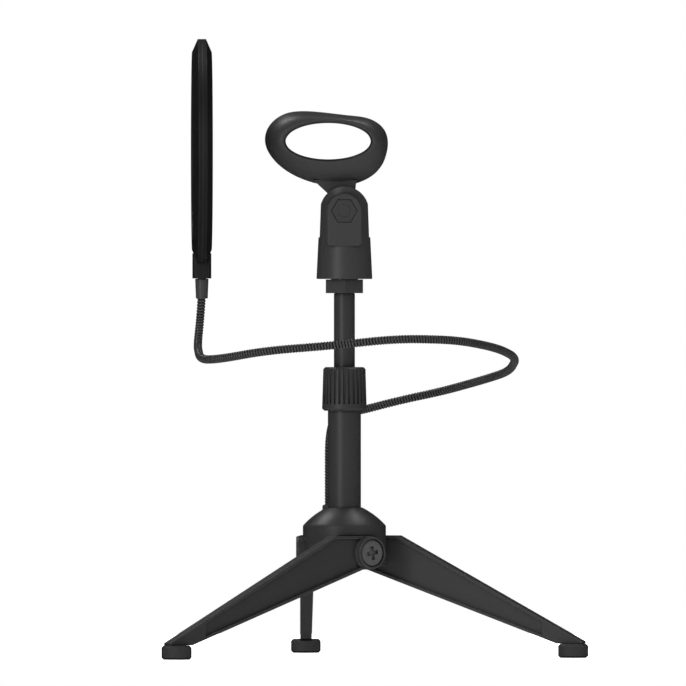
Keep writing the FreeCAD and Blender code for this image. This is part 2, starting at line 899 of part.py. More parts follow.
def clip_yoke():
    """The forked body of the clip: a cone with two rounded ears."""
    name = "clip_yoke"
    bore = dim.stud_radius + 0.8
    insert = dim.stud_radius + 3.1
    body = turned(
        name,
        [
            (0.0, dim.stud_top_z + 3.0),
            (bore, dim.stud_top_z + 3.0),
            (insert, dim.stud_top_z + 2.0),
            (insert, dim.yoke_base_z + 1.6),
            (bore, dim.yoke_base_z + 1.6),
            (bore, dim.yoke_base_z),
            (dim.yoke_base_radius - CORNER, dim.yoke_base_z),
            (dim.yoke_base_radius, dim.yoke_base_z + CORNER),
            (dim.yoke_waist_radius, dim.fork_floor_z),
            (dim.yoke_shoulder_radius, dim.yoke_shoulder_z),
            (dim.yoke_top_radius, dim.ear_top_z),
            (0.0, dim.ear_top_z),
        ],
    )
    width = dim.pad_half_width
    round_foot = 3.0
    pad_corners = [
        (-width, dim.pad_base_z + round_foot),
        (-width + round_foot, dim.pad_base_z),
        (width - round_foot, dim.pad_base_z),
        (width, dim.pad_base_z + round_foot),
        (width, dim.clip_pivot_z),
        (0.0, dim.clip_pivot_z + width),
        (-width, dim.clip_pivot_z),
    ]
    pad_arcs = {0: round_foot, 2: round_foot, 4: width, 5: width}
    sketch = outline(body, "yoke_pad", "XZ_Plane", pad_corners, pad_arcs)
    edge = dim.pad_face - dim.pad_bevel
    pad(body, "yoke_pads", sketch, edge * 2, both_sides=True)
    for face, lift, backwards in (("front", edge, False), ("back", -edge, True)):
        rim = outline(
            body, f"yoke_pad_{face}", "XZ_Plane", pad_corners, pad_arcs, lift=lift
        )
        bevelled = pad(
            body, f"yoke_pad_{face}_bevel", rim, dim.pad_bevel, backwards=backwards
        )
        bevelled.TaperAngle = -40.0
    reach = dim.ear_top_z - dim.clip_pivot_z
    above = [
        (-TALL / 2, dim.clip_pivot_z),
        (-reach, dim.clip_pivot_z),
        (0.0, dim.ear_top_z),
        (reach, dim.clip_pivot_z),
        (TALL / 2, dim.clip_pivot_z),
        (TALL / 2, dim.ear_top_z + TALL / 4),
        (-TALL / 2, dim.ear_top_z + TALL / 4),
    ]
    trim = outline(body, "yoke_arch", "XZ_Plane", above, {1: -reach, 2: -reach})
    pocket(body, "yoke_arch_cut", trim, TALL, both_sides=True)
    half = dim.fork_gap / 2
    slot = outline(
        body, "yoke_slot", "YZ_Plane",
        [
            (-half, dim.fork_floor_z),
            (half, dim.fork_floor_z),
            (half, dim.ear_top_z + SEAT),
            (-half, dim.ear_top_z + SEAT),
        ],
    )
    pocket(body, "yoke_slot_cut", slot, TALL, both_sides=True)
    hole = disc(
        body, "yoke_pivot", "XZ_Plane", dim.clip_bolt_radius + 0.02,
        0.0, dim.clip_pivot_z,
    )
    pocket(body, "yoke_pivot_bore", hole, TALL, both_sides=True)
    nut_room = outline(
        body, "yoke_nut_room", "XZ_Plane",
        hexagon_corners(dim.clip_nut_flats + 0.8, 0.0, dim.clip_pivot_z),
        lift=dim.pad_face,
    )
    pocket(body, "yoke_nut_pocket", nut_room, dim.clip_nut_depth)
    head_room = disc(
        body, "yoke_head_room", "XZ_Plane", dim.clip_head_radius + 0.3,
        0.0, dim.clip_pivot_z, lift=-dim.pad_face,
    )
    pocket(body, "yoke_head_sink", head_room, dim.clip_head_height, backwards=True)
    return body


def clip_hardware():
    """The thread insert, bolt, nut and washers of the clip."""
    insert = turned(
        "yoke_thread_insert",
        ring_corners(
            dim.stud_radius + 0.08, dim.stud_radius + 3.08,
            dim.yoke_base_z + 1.8, dim.stud_top_z + 1.9,
        ),
    )
    bolt = new_body("clip_bolt")
    front = -dim.pad_face + 0.1
    back = dim.pad_face - 0.3
    under_head = dim.pad_face - dim.clip_head_height + 0.02
    profile = outline(
        bolt, "clip_bolt_profile", "XY_Plane",
        [
            (0.0, front),
            (dim.clip_bolt_radius - 0.2, front),
            (dim.clip_bolt_radius, front + 0.2),
            (dim.clip_bolt_radius, under_head),
            (dim.clip_head_radius, under_head),
            (dim.clip_head_radius, back - 0.5),
            (dim.clip_head_radius - 0.5, back),
            (0.0, back),
        ],
    )
    revolve(bolt, "clip_bolt_turn", profile)
    drive = outline(
        bolt, "clip_bolt_drive", "XZ_Plane", hexagon_corners(5.0), lift=-back
    )
    pocket(bolt, "clip_bolt_socket", drive, 2.2, backwards=True)
    moved(bolt, z=dim.clip_pivot_z)
    nut = new_body("clip_nut")
    nut_back = dim.pad_face - dim.clip_nut_depth + 0.02
    flats = outline(
        nut, "clip_nut_flats_sketch", "XZ_Plane", hexagon_corners(dim.clip_nut_flats),
        lift=nut_back,
    )
    pad(nut, "clip_nut_pad", flats, dim.pad_face - nut_back - 0.05)
    thread = disc(
        nut, "clip_nut_thread", "XZ_Plane", dim.clip_bolt_radius + 0.02, lift=TALL / 2
    )
    pocket(nut, "clip_nut_bore", thread, TALL)
    moved(nut, z=dim.clip_pivot_z)
    washers = []
    for side, sign in (("front", -1.0), ("back", 1.0)):
        washer = new_body(f"clip_washer_{side}")
        inner = dim.tongue_thickness / 2 + 0.03
        outer = dim.fork_gap / 2 - 0.01
        corners = ring_corners(
            dim.clip_bolt_radius + 0.05, 7.5, sign * inner, sign * outer
        )
        revolve(
            washer, f"clip_washer_{side}_turn",
            outline(washer, f"clip_washer_{side}_profile", "XY_Plane", corners),
        )
        washers.append(moved(washer, z=dim.clip_pivot_z))
    pair = named("Part::Compound", "clip_washers", Links=washers)
    return [insert, bolt, nut, pair]


def lip_point(angle, inset=0.0):
    """A point of the narrow lip's oval, seen along the clip's axis."""
    return Vector(
        LIP_CENTRE[0] + (LIP_HALF[0] - inset) * math.cos(angle),
        0.0,
        LIP_CENTRE[1] + (LIP_HALF[1] - inset) * math.sin(angle),
    )


def mouth_points():
    """Evenly spaced points round the sleeve's wide mouth."""
    curve = Part.BSplineCurve()
    curve.interpolate([Vector(x, 0.0, z) for x, z in SLEEVE_MOUTH], PeriodicFlag=True)
    return curve.toShape().discretize(SLEEVE_POINTS + 1)[:-1]


def sleeve_outline(share, depth, inset):
    """A closed outline between the lip (share 0) and the mouth (share 1), at a depth."""
    points = []
    for rim_point in mouth_points():
        away = rim_point - Vector(LIP_CENTRE[0], 0.0, LIP_CENTRE[1])
        angle = math.atan2(away.z / LIP_HALF[1], away.x / LIP_HALF[0])
        mouth = rim_point - away.normalize() * inset
        point = lip_point(angle, inset) * (1.0 - share) + mouth * share
        point.y = depth
        points.append(point)
    curve = Part.BSplineCurve()
    curve.interpolate(points, PeriodicFlag=True)
    return Part.Wire(curve.toShape())


def flared(inset, overrun):
    """The solid inside the sleeve's flare, drawn in by an inset, longer by an overrun."""
    front, back = -dim.sleeve_front.value, dim.sleeve_back.value
    wires = []
    for depth_share, share in SLEEVE_FLARE:
        depth = front + (back - front) * depth_share
        wires.append(sleeve_outline(share, depth, inset))
    if overrun:
        wires.insert(0, sleeve_outline(SLEEVE_FLARE[0][1], front - overrun, inset))
        wires.append(sleeve_outline(SLEEVE_FLARE[-1][1], back + overrun, inset))
    return Part.makeLoft(wires, True, False)


def sleeve_bore():
    """The room inside the sleeve: narrowest a little behind its front edge."""
    front, back = -dim.sleeve_front.value, dim.sleeve_back.value
    wall = dim.sleeve_wall.value
    neck = front + 4.0
    stations = [
        (0.0, front - 1.0, wall - 1.5),
        (0.0, front, wall - 1.2),
        (0.0, neck, wall),
        (0.55, neck + 6.0, wall),
        (1.0, back, wall),
        (1.0, back + 1.0, wall),
    ]
    wires = [sleeve_outline(share, depth, inset) for share, depth, inset in stations]
    return Part.makeLoft(wires, True, True)


def tongue_solid():
    """The tongue under the sleeve, rounded about the pivot."""
    half = dim.tongue_thickness.value / 2
    pivot_z = dim.clip_pivot_z.value
    radius = 9.4
    corners = [(-18.1, 276.5), (-radius - 0.2, 268.6), (-radius, pivot_z)]
    corners += [(radius, pivot_z), (6.4, 270.5), (7.0, 276.5)]
    wire = Part.makePolygon([Vector(x, -half, z) for x, z in corners + corners[:1]])
    plate = Part.Face(wire).extrude(Vector(0, 2 * half, 0))
    along = Vector(0, 1, 0)
    eye = Part.makeCylinder(radius, 2 * half, Vector(0, -half, pivot_z), along)
    bore = dim.clip_bolt_radius.value + dim.running_gap.value
    hole = Part.makeCylinder(bore, 4 * half, Vector(0, -2 * half, pivot_z), along)
    return plate.fuse(eye).cut(hole)


def clip_sleeve():
    """The oval sleeve that the microphone slips into, with its tongue."""
    shell = flared(0.0, 0.0).cut(sleeve_bore())
    sleeve = document.addObject("Part::Feature", "clip_sleeve")
    sleeve.Label = "clip_sleeve"
    sleeve.Shape = shell.fuse(tongue_solid().cut(flared(1.0, 1.0))).removeSplitter()
    sleeve.Placement = Placement()
    return sleeve


# ---------------------------------------------------------------- flexible arm


def arm_corner(number):
    """One corner of the arm's route, with the length and direction before and after it."""
    here = Vector(*ARM_ROUTE[number])
    before = here - Vector(*ARM_ROUTE[number - 1])
    after = Vector(*ARM_ROUTE[number + 1]) - here
    turn = before.getAngle(after)
    trim = ARC_SHARE * min(before.Length, after.Length)
    return here, before.normalize(), after.normalize(), turn, trim


def arm_length(first, last, start, end):
    """The straight runs and tangent arcs from start to end, past the corners between."""
    edges = []
    at = start
    for number in range(first, last + 1):
        here, before, after, turn, trim = arm_corner(number)
        radius = trim / math.tan(turn / 2)
        enter, leave = here - before * trim, here + after * trim
        middle = here + (after - before).normalize() * (
            radius / math.cos(turn / 2) - radius
        )
        edges.append(Part.LineSegment(at, enter).toShape())
        edges.append(Part.Arc(enter, middle, leave).toShape())
        print(f"arm corner {number}: radius {radius:.1f}, turn {math.degrees(turn):.0f}")
        at = leave
    edges.append(Part.LineSegment(at, end).toShape())
    return Part.Wire(edges)


def arm_pieces():
    """The flexible arm in rigid lengths, a small gap apart at each of its bends."""
    gap = dim.arm_hinge_gap.value / 2
    radius = dim.arm_radius.value
    starts = [(0, Vector(*ARM_ROUTE[0]))]
    ends = []
    for run in ARM_HINGE_RUNS:
        a, b = Vector(*ARM_ROUTE[run]), Vector(*ARM_ROUTE[run + 1])
        middle = (a + b) * 0.5
        along = (b - a).normalize()
        ends.append((run, middle - along * gap))
        starts.append((run + 1, middle + along * gap))
        print("arm bend at", [round(c, 2) for c in middle])
    ends.append((len(ARM_ROUTE) - 2, Vector(*ARM_ROUTE[-1])))
    nodes = []
    for number, ((first, start), (last, end)) in enumerate(zip(starts, ends), start=1):
        path = arm_length(max(first, 1), last, start, end)
        direction = path.Edges[0].tangentAt(path.Edges[0].FirstParameter)
        ring = Part.Wire(Part.Circle(start, direction, radius).toShape())
        solid = path.makePipeShell([ring], True, True)
        expected = math.pi * radius**2 * path.Length
        print(f"arm {number}: volume {solid.Volume:.0f}, section times length {expected:.0f}")
        node = document.addObject("Part::Feature", f"gooseneck_{number}")
        node.Label = f"gooseneck_{number}"
        node.Shape = solid
        node.Placement = Placement()
        nodes.append(node)
    return nodes


def arm_ends():
    """The ferrule and nut that hold the arm to the hub."""
    top = dim.arm_base_z
    seat = top - 6.5
    ferrule = turned(
        "base_ferrule_blank",
        [
            (0.0, dim.hub_base_z + dim.cover_thickness + 0.4),
            (2.4, dim.hub_base_z + dim.cover_thickness + 0.4),
            (2.4, seat + 0.02),
            (3.8, seat + 0.02),
            (3.8, top - 0.8),
            (3.3, top - 0.05),
            (0.0, top - 0.05),
        ],
    )
    moved(ferrule, dim.arm_base_x, dim.arm_base_y)
    ferrule_node = named("Part::Compound", "gooseneck_base_ferrule", Links=[ferrule])
    nut = new_body("gooseneck_base_nut")
    flats = outline(
        nut, "base_nut_flats", "XY_Plane", hexagon_corners(8.0),
        lift=dim.hub_base_z + 2.9,
    )
    pad(nut, "base_nut_pad", flats, 4.0)
    thread = disc(nut, "base_nut_thread", "XY_Plane", 2.42, lift=dim.hub_base_z)
    pocket(nut, "base_nut_bore", thread, TALL, backwards=True)
    moved(nut, dim.arm_base_x, dim.arm_base_y)
    return [ferrule_node, nut]


# ---------------------------------------------------------------- filter


def filter_centred(thing):
    """Puts a piece drawn about the filter's centre in its place, turned a little."""
    thing.Placement = Placement(
        Vector(), Rotation(Vector(0, 0, 1), dim.filter_turn.value)
    )
    bind(thing, "Placement.Rotation.Angle", dim.filter_turn)
    return moved(thing, dim.filter_x, dim.filter_y, dim.filter_z)


def hoop_corners(sign):
    """Half of the hoop's section, X across the hoop and Y its radius."""
    outer = sign * dim.hoop_depth / 2
    seat = sign * (dim.mesh_gap / 2 + dim.mesh_thickness + 0.04)
    inner_seat = dim.hoop_window + 5.0
    split = sign * 0.02
    return [
        (split, inner_seat),
        (split, dim.hoop_radius),
        (sign * dim.hoop_rim / 2, dim.hoop_radius),
        (outer, dim.hoop_radius - dim.hoop_chamfer),
        (outer, dim.hoop_window + 0.6),
        (outer - sign * 0.6, dim.hoop_window),
        (seat, dim.hoop_window),
        (seat, inner_seat),
    ]


def filter_ring(name, corners):
    """A piece of the filter turned about the filter's own axis, which lies along X."""
    body = new_body(name)
    sketch = outline(body, f"{name}_profile", "XY_Plane", corners)
    revolve(body, f"{name}_turn", sketch, axis="H_Axis")
    return filter_centred(body)


def filter_disc():
    """The two hoops, the spacer and the two meshes between them."""
    spacer_edge = dim.hoop_window + 4.9
    half_gap = dim.mesh_gap / 2
    nodes = [
        filter_ring("right_hoop", hoop_corners(1.0)),
        filter_ring("left_hoop", hoop_corners(-1.0)),
        filter_ring(
            "hoop_spacer",
            [
                (-half_gap, dim.hoop_window + 1.0),
                (half_gap, dim.hoop_window + 1.0),
                (half_gap, spacer_edge),
                (-half_gap, spacer_edge),
            ],
        ),
    ]
    for name, sign in (("right_mesh", 1.0), ("left_mesh", -1.0)):
        near = sign * (half_gap + 0.02)
        far = sign * (half_gap + 0.02 + dim.mesh_thickness)
        corners = [(near, 0.0), (far, 0.0), (far, spacer_edge), (near, spacer_edge)]
        nodes.append(filter_ring(name, corners))
    return nodes


def filter_socket():
    """The socket that saddles the bottom of the hoop and turns on the tip ferrule."""
    block = new_body("socket_blank")
    half = dim.socket_width / 2
    depth = 6.0
    corner = 1.4
    sketch = outline(
        block, "socket_plan", "XY_Plane",
        [
            (-half, -depth + corner), (-half + corner, -depth),
            (half - corner, -depth), (half, -depth + corner),
            (half, depth - corner), (half - corner, depth),
            (-half + corner, depth), (-half, depth - corner),
        ],
        lift=dim.socket_base_z,
    )
    pad(block, "socket_pad", sketch, dim.socket_top_z - dim.socket_base_z)
    hole = disc(block, "socket_hole", "XY_Plane", 2.56, lift=dim.socket_base_z)
    pocket(block, "socket_bore", hole, 6.5, backwards=True)
    block.Placement = Placement(Vector(), Rotation(Vector(0, 0, 1), dim.filter_turn.value))
    bind(block, "Placement.Rotation.Angle", dim.filter_turn)
    moved(block, dim.filter_x, dim.filter_y)
    gap = 0.05
    saddle = filter_ring(
        "saddle_cutter",
        [
            (-(dim.hoop_depth / 2 + gap), 0.0),
            (dim.hoop_depth / 2 + gap, 0.0),
            (dim.hoop_depth / 2 + gap, dim.hoop_radius - dim.hoop_chamfer),
            (dim.hoop_rim / 2, dim.hoop_radius + gap),
            (-dim.hoop_rim / 2, dim.hoop_radius + gap),
            (-(dim.hoop_depth / 2 + gap), dim.hoop_radius - dim.hoop_chamfer),
        ],
    )
    return named("Part::Cut", "filter_socket", Base=block, Tool=saddle)


def tip_ferrule():
    """The ferrule on the arm's tip, with the stud that the socket turns on."""
    blank = turned(
        "tip_ferrule_blank",
        [
            (0.0, dim.ferrule_base_z + 1.1),
            (dim.arm_radius + 0.3, dim.ferrule_base_z + 1.1),
            (dim.arm_radius + 0.3, dim.ferrule_base_z),
            (dim.ferrule_base_radius, dim.ferrule_base_z),
            (dim.ferrule_top_radius, dim.socket_base_z - 0.5),
            (dim.ferrule_top_radius - 0.3, dim.socket_base_z - 0.15),
            (2.5, dim.socket_base_z - 0.15),
            (2.5, dim.socket_base_z + 6.0),
            (0.0, dim.socket_base_z + 6.0),
        ],
    )
    moved(blank, dim.filter_x, dim.filter_y)
    return named("Part::Compound", "gooseneck_tip_ferrule", Links=[blank])


# ---------------------------------------------------------------- build and save


def check_objects():
    """Stops if FreeCAD marks any object of the document as failed."""
    for thing in document.Objects:
        if {"Invalid", "Error"} & set(thing.State):
            raise RuntimeError(f"{thing.Label} failed: {thing.State}")


def save(nodes):
    """Writes each sub-part's solids to a STEP file with the sub-part's name."""
    os.makedirs("parts", exist_ok=True)
    for node in nodes:
        shape = node.Shape
        if shape.isNull() or not shape.isValid() or not shape.Solids:
            raise RuntimeError(f"{node.Label} has no valid solid")
    for node in nodes:
        node.Shape.exportStep(f"parts/{node.Label}.step")
        print(f"{node.Label}: {len(node.Shape.Solids)} solid, {node.Shape.Volume:.0f} mm3")


nodes = hub() + legs() + column() + [clip_yoke()] + clip_hardware() + [clip_sleeve()]
nodes += arm_ends() + arm_pieces() + [tip_ferrule(), filter_socket()] + filter_disc()
document.recompute()
check_objects()
save(nodes)
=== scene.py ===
import logging
import math
from dataclasses import dataclass, field
from enum import Enum
from typing import Iterable

import bmesh
import bpy
from mathutils import Matrix, Vector


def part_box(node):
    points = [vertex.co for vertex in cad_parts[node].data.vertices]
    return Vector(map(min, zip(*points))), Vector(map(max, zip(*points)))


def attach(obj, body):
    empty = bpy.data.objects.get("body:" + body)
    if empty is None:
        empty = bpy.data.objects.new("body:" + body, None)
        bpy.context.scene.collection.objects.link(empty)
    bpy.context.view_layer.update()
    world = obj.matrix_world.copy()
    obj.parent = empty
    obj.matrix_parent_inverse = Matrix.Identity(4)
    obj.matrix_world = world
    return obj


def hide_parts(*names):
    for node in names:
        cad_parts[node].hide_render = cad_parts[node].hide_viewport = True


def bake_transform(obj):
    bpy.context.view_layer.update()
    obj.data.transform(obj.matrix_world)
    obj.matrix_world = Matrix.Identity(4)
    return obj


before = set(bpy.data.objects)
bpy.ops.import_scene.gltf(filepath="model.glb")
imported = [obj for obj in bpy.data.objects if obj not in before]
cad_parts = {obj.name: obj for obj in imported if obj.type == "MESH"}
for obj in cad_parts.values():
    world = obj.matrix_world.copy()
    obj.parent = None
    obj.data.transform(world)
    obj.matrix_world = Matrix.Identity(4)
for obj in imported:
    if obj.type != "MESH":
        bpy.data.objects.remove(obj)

LOG = logging.getLogger("stand")
RIDGE = "ridge"
MM = 0.001
WHITE = (1.0, 1.0, 1.0, 1.0)
NO_COLOUR = (0.0, 0.0, 0.0, 1.0)
DUST_COLOUR = (0.35, 0.34, 0.33, 1.0)
GRAIN_HEIGHT = 0.08 * MM
THREAD_HEIGHT = 0.1 * MM

# The sockets of a Mix node that mixes colours, which share their names with its other sockets.
MIX_FIRST = 6
MIX_SECOND = 7
MIX_RESULT = 2


class Side(Enum):
    """The two faces of the filter, by the side of its hoop that they are on."""

    LEFT = -1
    RIGHT = 1


class Lay(Enum):
    """The part that a studio light plays."""

    KEY = "key"
    LEFT_CROWN = "left crown"
    RIGHT_CROWN = "right crown"
    REAR = "rear"
    OVERHEAD = "overhead"


# ---------------------------------------------------------------- node trees


class Tree:
    """A thin layer over a node tree, for a material or for a node group."""

    def __init__(self, tree: bpy.types.NodeTree) -> None:
        """Takes the tree that it works on.

        Args:
            tree: the node tree that the new nodes go in.
        """
        self.tree = tree

    def node(self, kind: str, **settings: object) -> bpy.types.Node:
        """Adds a node.

        Args:
            kind: Blender's name for the node's type.
            settings: properties of the node, by name.

        Returns:
            The new node.
        """
        made = self.tree.nodes.new(kind)
        for name, value in settings.items():
            setattr(made, name, value)
        return made

    def feed(self, socket: bpy.types.NodeSocket, value: object) -> None:
        """Links a socket to an output, or sets it to a plain value.

        Args:
            socket: the input socket.
            value: an output socket, a number or a sequence of numbers.
        """
        if isinstance(value, bpy.types.NodeSocket):
            self.tree.links.new(value, socket)
        else:
            socket.default_value = value

    def math(self, operation: str, *values: object) -> bpy.types.NodeSocket:
        """Adds a Math node.

        Args:
            operation: the node's operation.
            values: what goes in each of its inputs.

        Returns:
            The node's output.
        """
        made = self.node("ShaderNodeMath", operation=operation)
        for socket, value in zip(made.inputs, values):
            self.feed(socket, value)
        return made.outputs[0]

    def vector_math(self, operation: str, *values: object) -> bpy.types.Node:
        """Adds a Vector Math node.

        Args:
            operation: the node's operation.
            values: what goes in each of its inputs.

        Returns:
            The node, whose outputs are "Vector" and "Value".
        """
        made = self.node("ShaderNodeVectorMath", operation=operation)
        for socket, value in zip(made.inputs, values):
            self.feed(socket, value)
        return made

    def noise(self, where: object, per_metre: object, detail: float) -> bpy.types.NodeSocket:
        """Adds a Noise texture.

        Args:
            where: the coordinates.
            per_metre: how many features fit in a metre.
            detail: how many finer layers the noise has.

        Returns:
            The noise's value, from 0 to 1.
        """
        made = self.node("ShaderNodeTexNoise")
        self.feed(made.inputs["Vector"], where)
        self.feed(made.inputs["Scale"], per_metre)
        made.inputs["Detail"].default_value = detail
        return made.outputs[0]

    def ranged(
        self, value: object, low: float, high: float, to_low: object, to_high: object
    ) -> bpy.types.NodeSocket:
        """Maps a value from one range to another, and clamps it.

        Args:
            value: what is mapped.
            low: the value that becomes to_low.
            high: the value that becomes to_high.
            to_low: the result at low.
            to_high: the result at high.

        Returns:
            The mapped value.
        """
        made = self.node("ShaderNodeMapRange")
        for name, amount in (
            ("Value", value),
            ("From Min", low),
            ("From Max", high),
            ("To Min", to_low),
            ("To Max", to_high),
        ):
            self.feed(made.inputs[name], amount)
        return made.outputs["Result"]

    def mixed(self, factor: object, first: object, second: object) -> bpy.types.NodeSocket:
        """Mixes two colours.

        Args:
            factor: 0 for the first colour, 1 for the second.
            first: the first colour.
            second: the second colour.

        Returns:
            The mixed colour.
        """
        made = self.node("ShaderNodeMix", data_type="RGBA")
        self.feed(made.inputs["Factor"], factor)
        self.feed(made.inputs[MIX_FIRST], first)
        self.feed(made.inputs[MIX_SECOND], second)
        return made.outputs[MIX_RESULT]


class SharedGroup:
    """A node group that several materials use, built once with named sockets."""

    def __init__(
        self,
        name: str,
        inputs: Iterable[tuple[str, str, object]],
        outputs: Iterable[tuple[str, str]],
    ) -> None:
        """Makes the group with its sockets, still empty inside.

        Args:
            name: the group's name.
            inputs: each input's name, socket type and default value.
            outputs: each output's name and socket type.
        """
        self.group = bpy.data.node_groups.new(name, "ShaderNodeTree")
        for socket_name, kind, default in inputs:
            socket = self.group.interface.new_socket(
                name=socket_name, in_out="INPUT", socket_type=kind
            )
            if default is not None:
                socket.default_value = default
        for socket_name, kind in outputs:
            self.group.interface.new_socket(
                name=socket_name, in_out="OUTPUT", socket_type=kind
            )
        self.inside = Tree(self.group)
        self.given = self.inside.node("NodeGroupInput").outputs
        self.result = self.inside.node("NodeGroupOutput").inputs

    def used_in(self, tree: Tree, **values: object) -> bpy.types.Node:
        """Puts the group in another tree.

        Args:
            tree: the tree that uses the group.
            values: what goes in each input, by its name with _ for a space.

        Returns:
            The group's node in that tree.
        """
        made = tree.node("ShaderNodeGroup", node_tree=self.group)
        for name, value in values.items():
            tree.feed(made.inputs[name.replace("_", " ")], value)
        return made


class SoftEdges(SharedGroup):
    """Rounds the normal at sharp edges and finds where they are."""

    def __init__(self) -> None:
        """Builds the group."""
        super().__init__(
            "Soft Edges",
            [("Radius", "NodeSocketFloat", 0.0004)],
            [("Normal", "NodeSocketVector"), ("Edge", "NodeSocketFloat")],
        )
        tree = self.inside
        rounded = tree.node("ShaderNodeBevel", samples=6)
        tree.feed(rounded.inputs["Radius"], self.given["Radius"])
        flat = tree.node("ShaderNodeNewGeometry").outputs["Normal"]
        likeness = tree.vector_math("DOT_PRODUCT", rounded.outputs["Normal"], flat)
        edge = tree.ranged(
            likeness.outputs["Value"], low=0.995, high=0.86, to_low=0.0, to_high=1.0
        )
        tree.feed(self.result["Normal"], rounded.outputs["Normal"])
        tree.feed(self.result["Edge"], edge)


class Grain(SharedGroup):
    """A fine moulded or sprayed texture: a bumped normal and an uneven sheen."""

    def __init__(self) -> None:
        """Builds the group."""
        super().__init__(
            "Grain",
            [
                ("Per Metre", "NodeSocketFloat", 2400.0),
                ("Depth", "NodeSocketFloat", 0.2),
                ("Sheen", "NodeSocketFloat", 0.45),
                ("Spread", "NodeSocketFloat", 0.06),
                ("Normal", "NodeSocketVector", None),
            ],
            [
                ("Normal", "NodeSocketVector"),
                ("Roughness", "NodeSocketFloat"),
                ("Tone", "NodeSocketFloat"),
            ],
        )
        tree = self.inside
        where = tree.node("ShaderNodeTexCoord").outputs["Object"]
        fine = tree.noise(where, self.given["Per Metre"], detail=3.0)
        cloudy = tree.noise(where, per_metre=38.0, detail=4.0)
        bump = tree.node("ShaderNodeBump")
        bump.inputs["Distance"].default_value = GRAIN_HEIGHT
        tree.feed(bump.inputs["Strength"], self.given["Depth"])
        tree.feed(bump.inputs["Height"], fine)
        tree.feed(bump.inputs["Normal"], self.given["Normal"])
        spread = tree.math("MULTIPLY", self.given["Spread"], tree.math("SUBTRACT", cloudy, 0.5))
        tree.feed(self.result["Normal"], bump.outputs["Normal"])
        tree.feed(self.result["Roughness"], tree.math("ADD", self.given["Sheen"], spread))
        tone = tree.ranged(fine, low=0.25, high=0.75, to_low=0.9, to_high=1.1)
        tree.feed(self.result["Tone"], tone)


class Dust(SharedGroup):
    """A thin, patchy dust on what faces up."""

    def __init__(self) -> None:
        """Builds the group."""
        super().__init__(
            "Dust",
            [("Amount", "NodeSocketFloat", 0.1)],
            [("Mask", "NodeSocketFloat")],
        )
        tree = self.inside
        normal = tree.node("ShaderNodeNewGeometry").outputs["Normal"]
        up = tree.vector_math("DOT_PRODUCT", normal, (0.0, 0.0, 1.0)).outputs["Value"]
        where = tree.node("ShaderNodeTexCoord").outputs["Object"]
        specks = tree.noise(where, per_metre=90.0, detail=6.0)
        patches = tree.ranged(specks, low=0.42, high=0.7, to_low=0.2, to_high=1.0)
        facing = tree.ranged(up, low=0.35, high=0.95, to_low=0.0, to_high=1.0)
        mask = tree.math("MULTIPLY", facing, patches)
        tree.feed(self.result["Mask"], tree.math("MULTIPLY", mask, self.given["Amount"]))


class Crevice(SharedGroup):
    """Paints shade into the colour of the corners and gaps where light hardly reaches."""

    def __init__(self) -> None:
        """Builds the group."""
        super().__init__(
            "Crevice",
            [("Reach", "NodeSocketFloat", 0.002), ("Strength", "NodeSocketFloat", 0.7)],
            [("Shade", "NodeSocketFloat")],
        )
        tree = self.inside
        open_sky = tree.node("ShaderNodeAmbientOcclusion", samples=6)
        tree.feed(open_sky.inputs["Distance"], self.given["Reach"])
        closed = tree.ranged(open_sky.outputs["AO"], low=0.35, high=0.9, to_low=1.0, to_high=0.0)
        lost = tree.math("MULTIPLY", closed, self.given["Strength"])
        tree.feed(self.result["Shade"], tree.math("SUBTRACT", 1.0, lost))


class Weave(SharedGroup):
    """A plain weave of round threads in the YZ plane."""

    def __init__(self) -> None:
        """Builds the group."""
        super().__init__(
            "Weave",
            [("Pitch", "NodeSocketFloat", 0.0005), ("Thread", "NodeSocketFloat", 0.5)],
            [("Cover", "NodeSocketFloat"), ("Height", "NodeSocketFloat")],
        )
        tree = self.inside
        where = tree.node("ShaderNodeTexCoord").outputs["Object"]
        parts = tree.node("ShaderNodeSeparateXYZ")
        tree.feed(parts.inputs[0], where)
        turns = [
            tree.math("DIVIDE", parts.outputs[axis], self.given["Pitch"])
            for axis in ("Y", "Z")
        ]
        waves = []
        for turn in turns:
            cycle = tree.math("PINGPONG", turn, 0.5)
            waves.append(tree.math("MULTIPLY", cycle, 2.0))
        crowns = []
        for wave, other in zip(waves, reversed(turns)):
            inside = tree.math("SUBTRACT", 1.0, tree.math("DIVIDE", wave, self.given["Thread"]))
            over = tree.math("SINE", tree.math("MULTIPLY", other, math.pi))
            lift = tree.math("MULTIPLY_ADD", over, 0.25, 1.0)
            crowns.append(tree.math("MULTIPLY", tree.math("MAXIMUM", inside, 0.0), lift))
        height = tree.math("MAXIMUM", *crowns)
        tree.feed(self.result["Height"], height)
        tree.feed(self.result["Cover"], tree.math("GREATER_THAN", height, 0.02))


@dataclass
class GroupShelf:
    """The shared node groups, built once.

    Attributes:
        edges: rounds sharp edges and finds them.
        grain: the fine surface texture.
        dust: the dust on upward faces.
        crevice: paints shade into corners and gaps.
        weave: the cloth's threads.
    """

    edges: SoftEdges = field(default_factory=SoftEdges)
    grain: Grain = field(default_factory=Grain)
    dust: Dust = field(default_factory=Dust)
    crevice: Crevice = field(default_factory=Crevice)
    weave: Weave = field(default_factory=Weave)


# ---------------------------------------------------------------- finishes


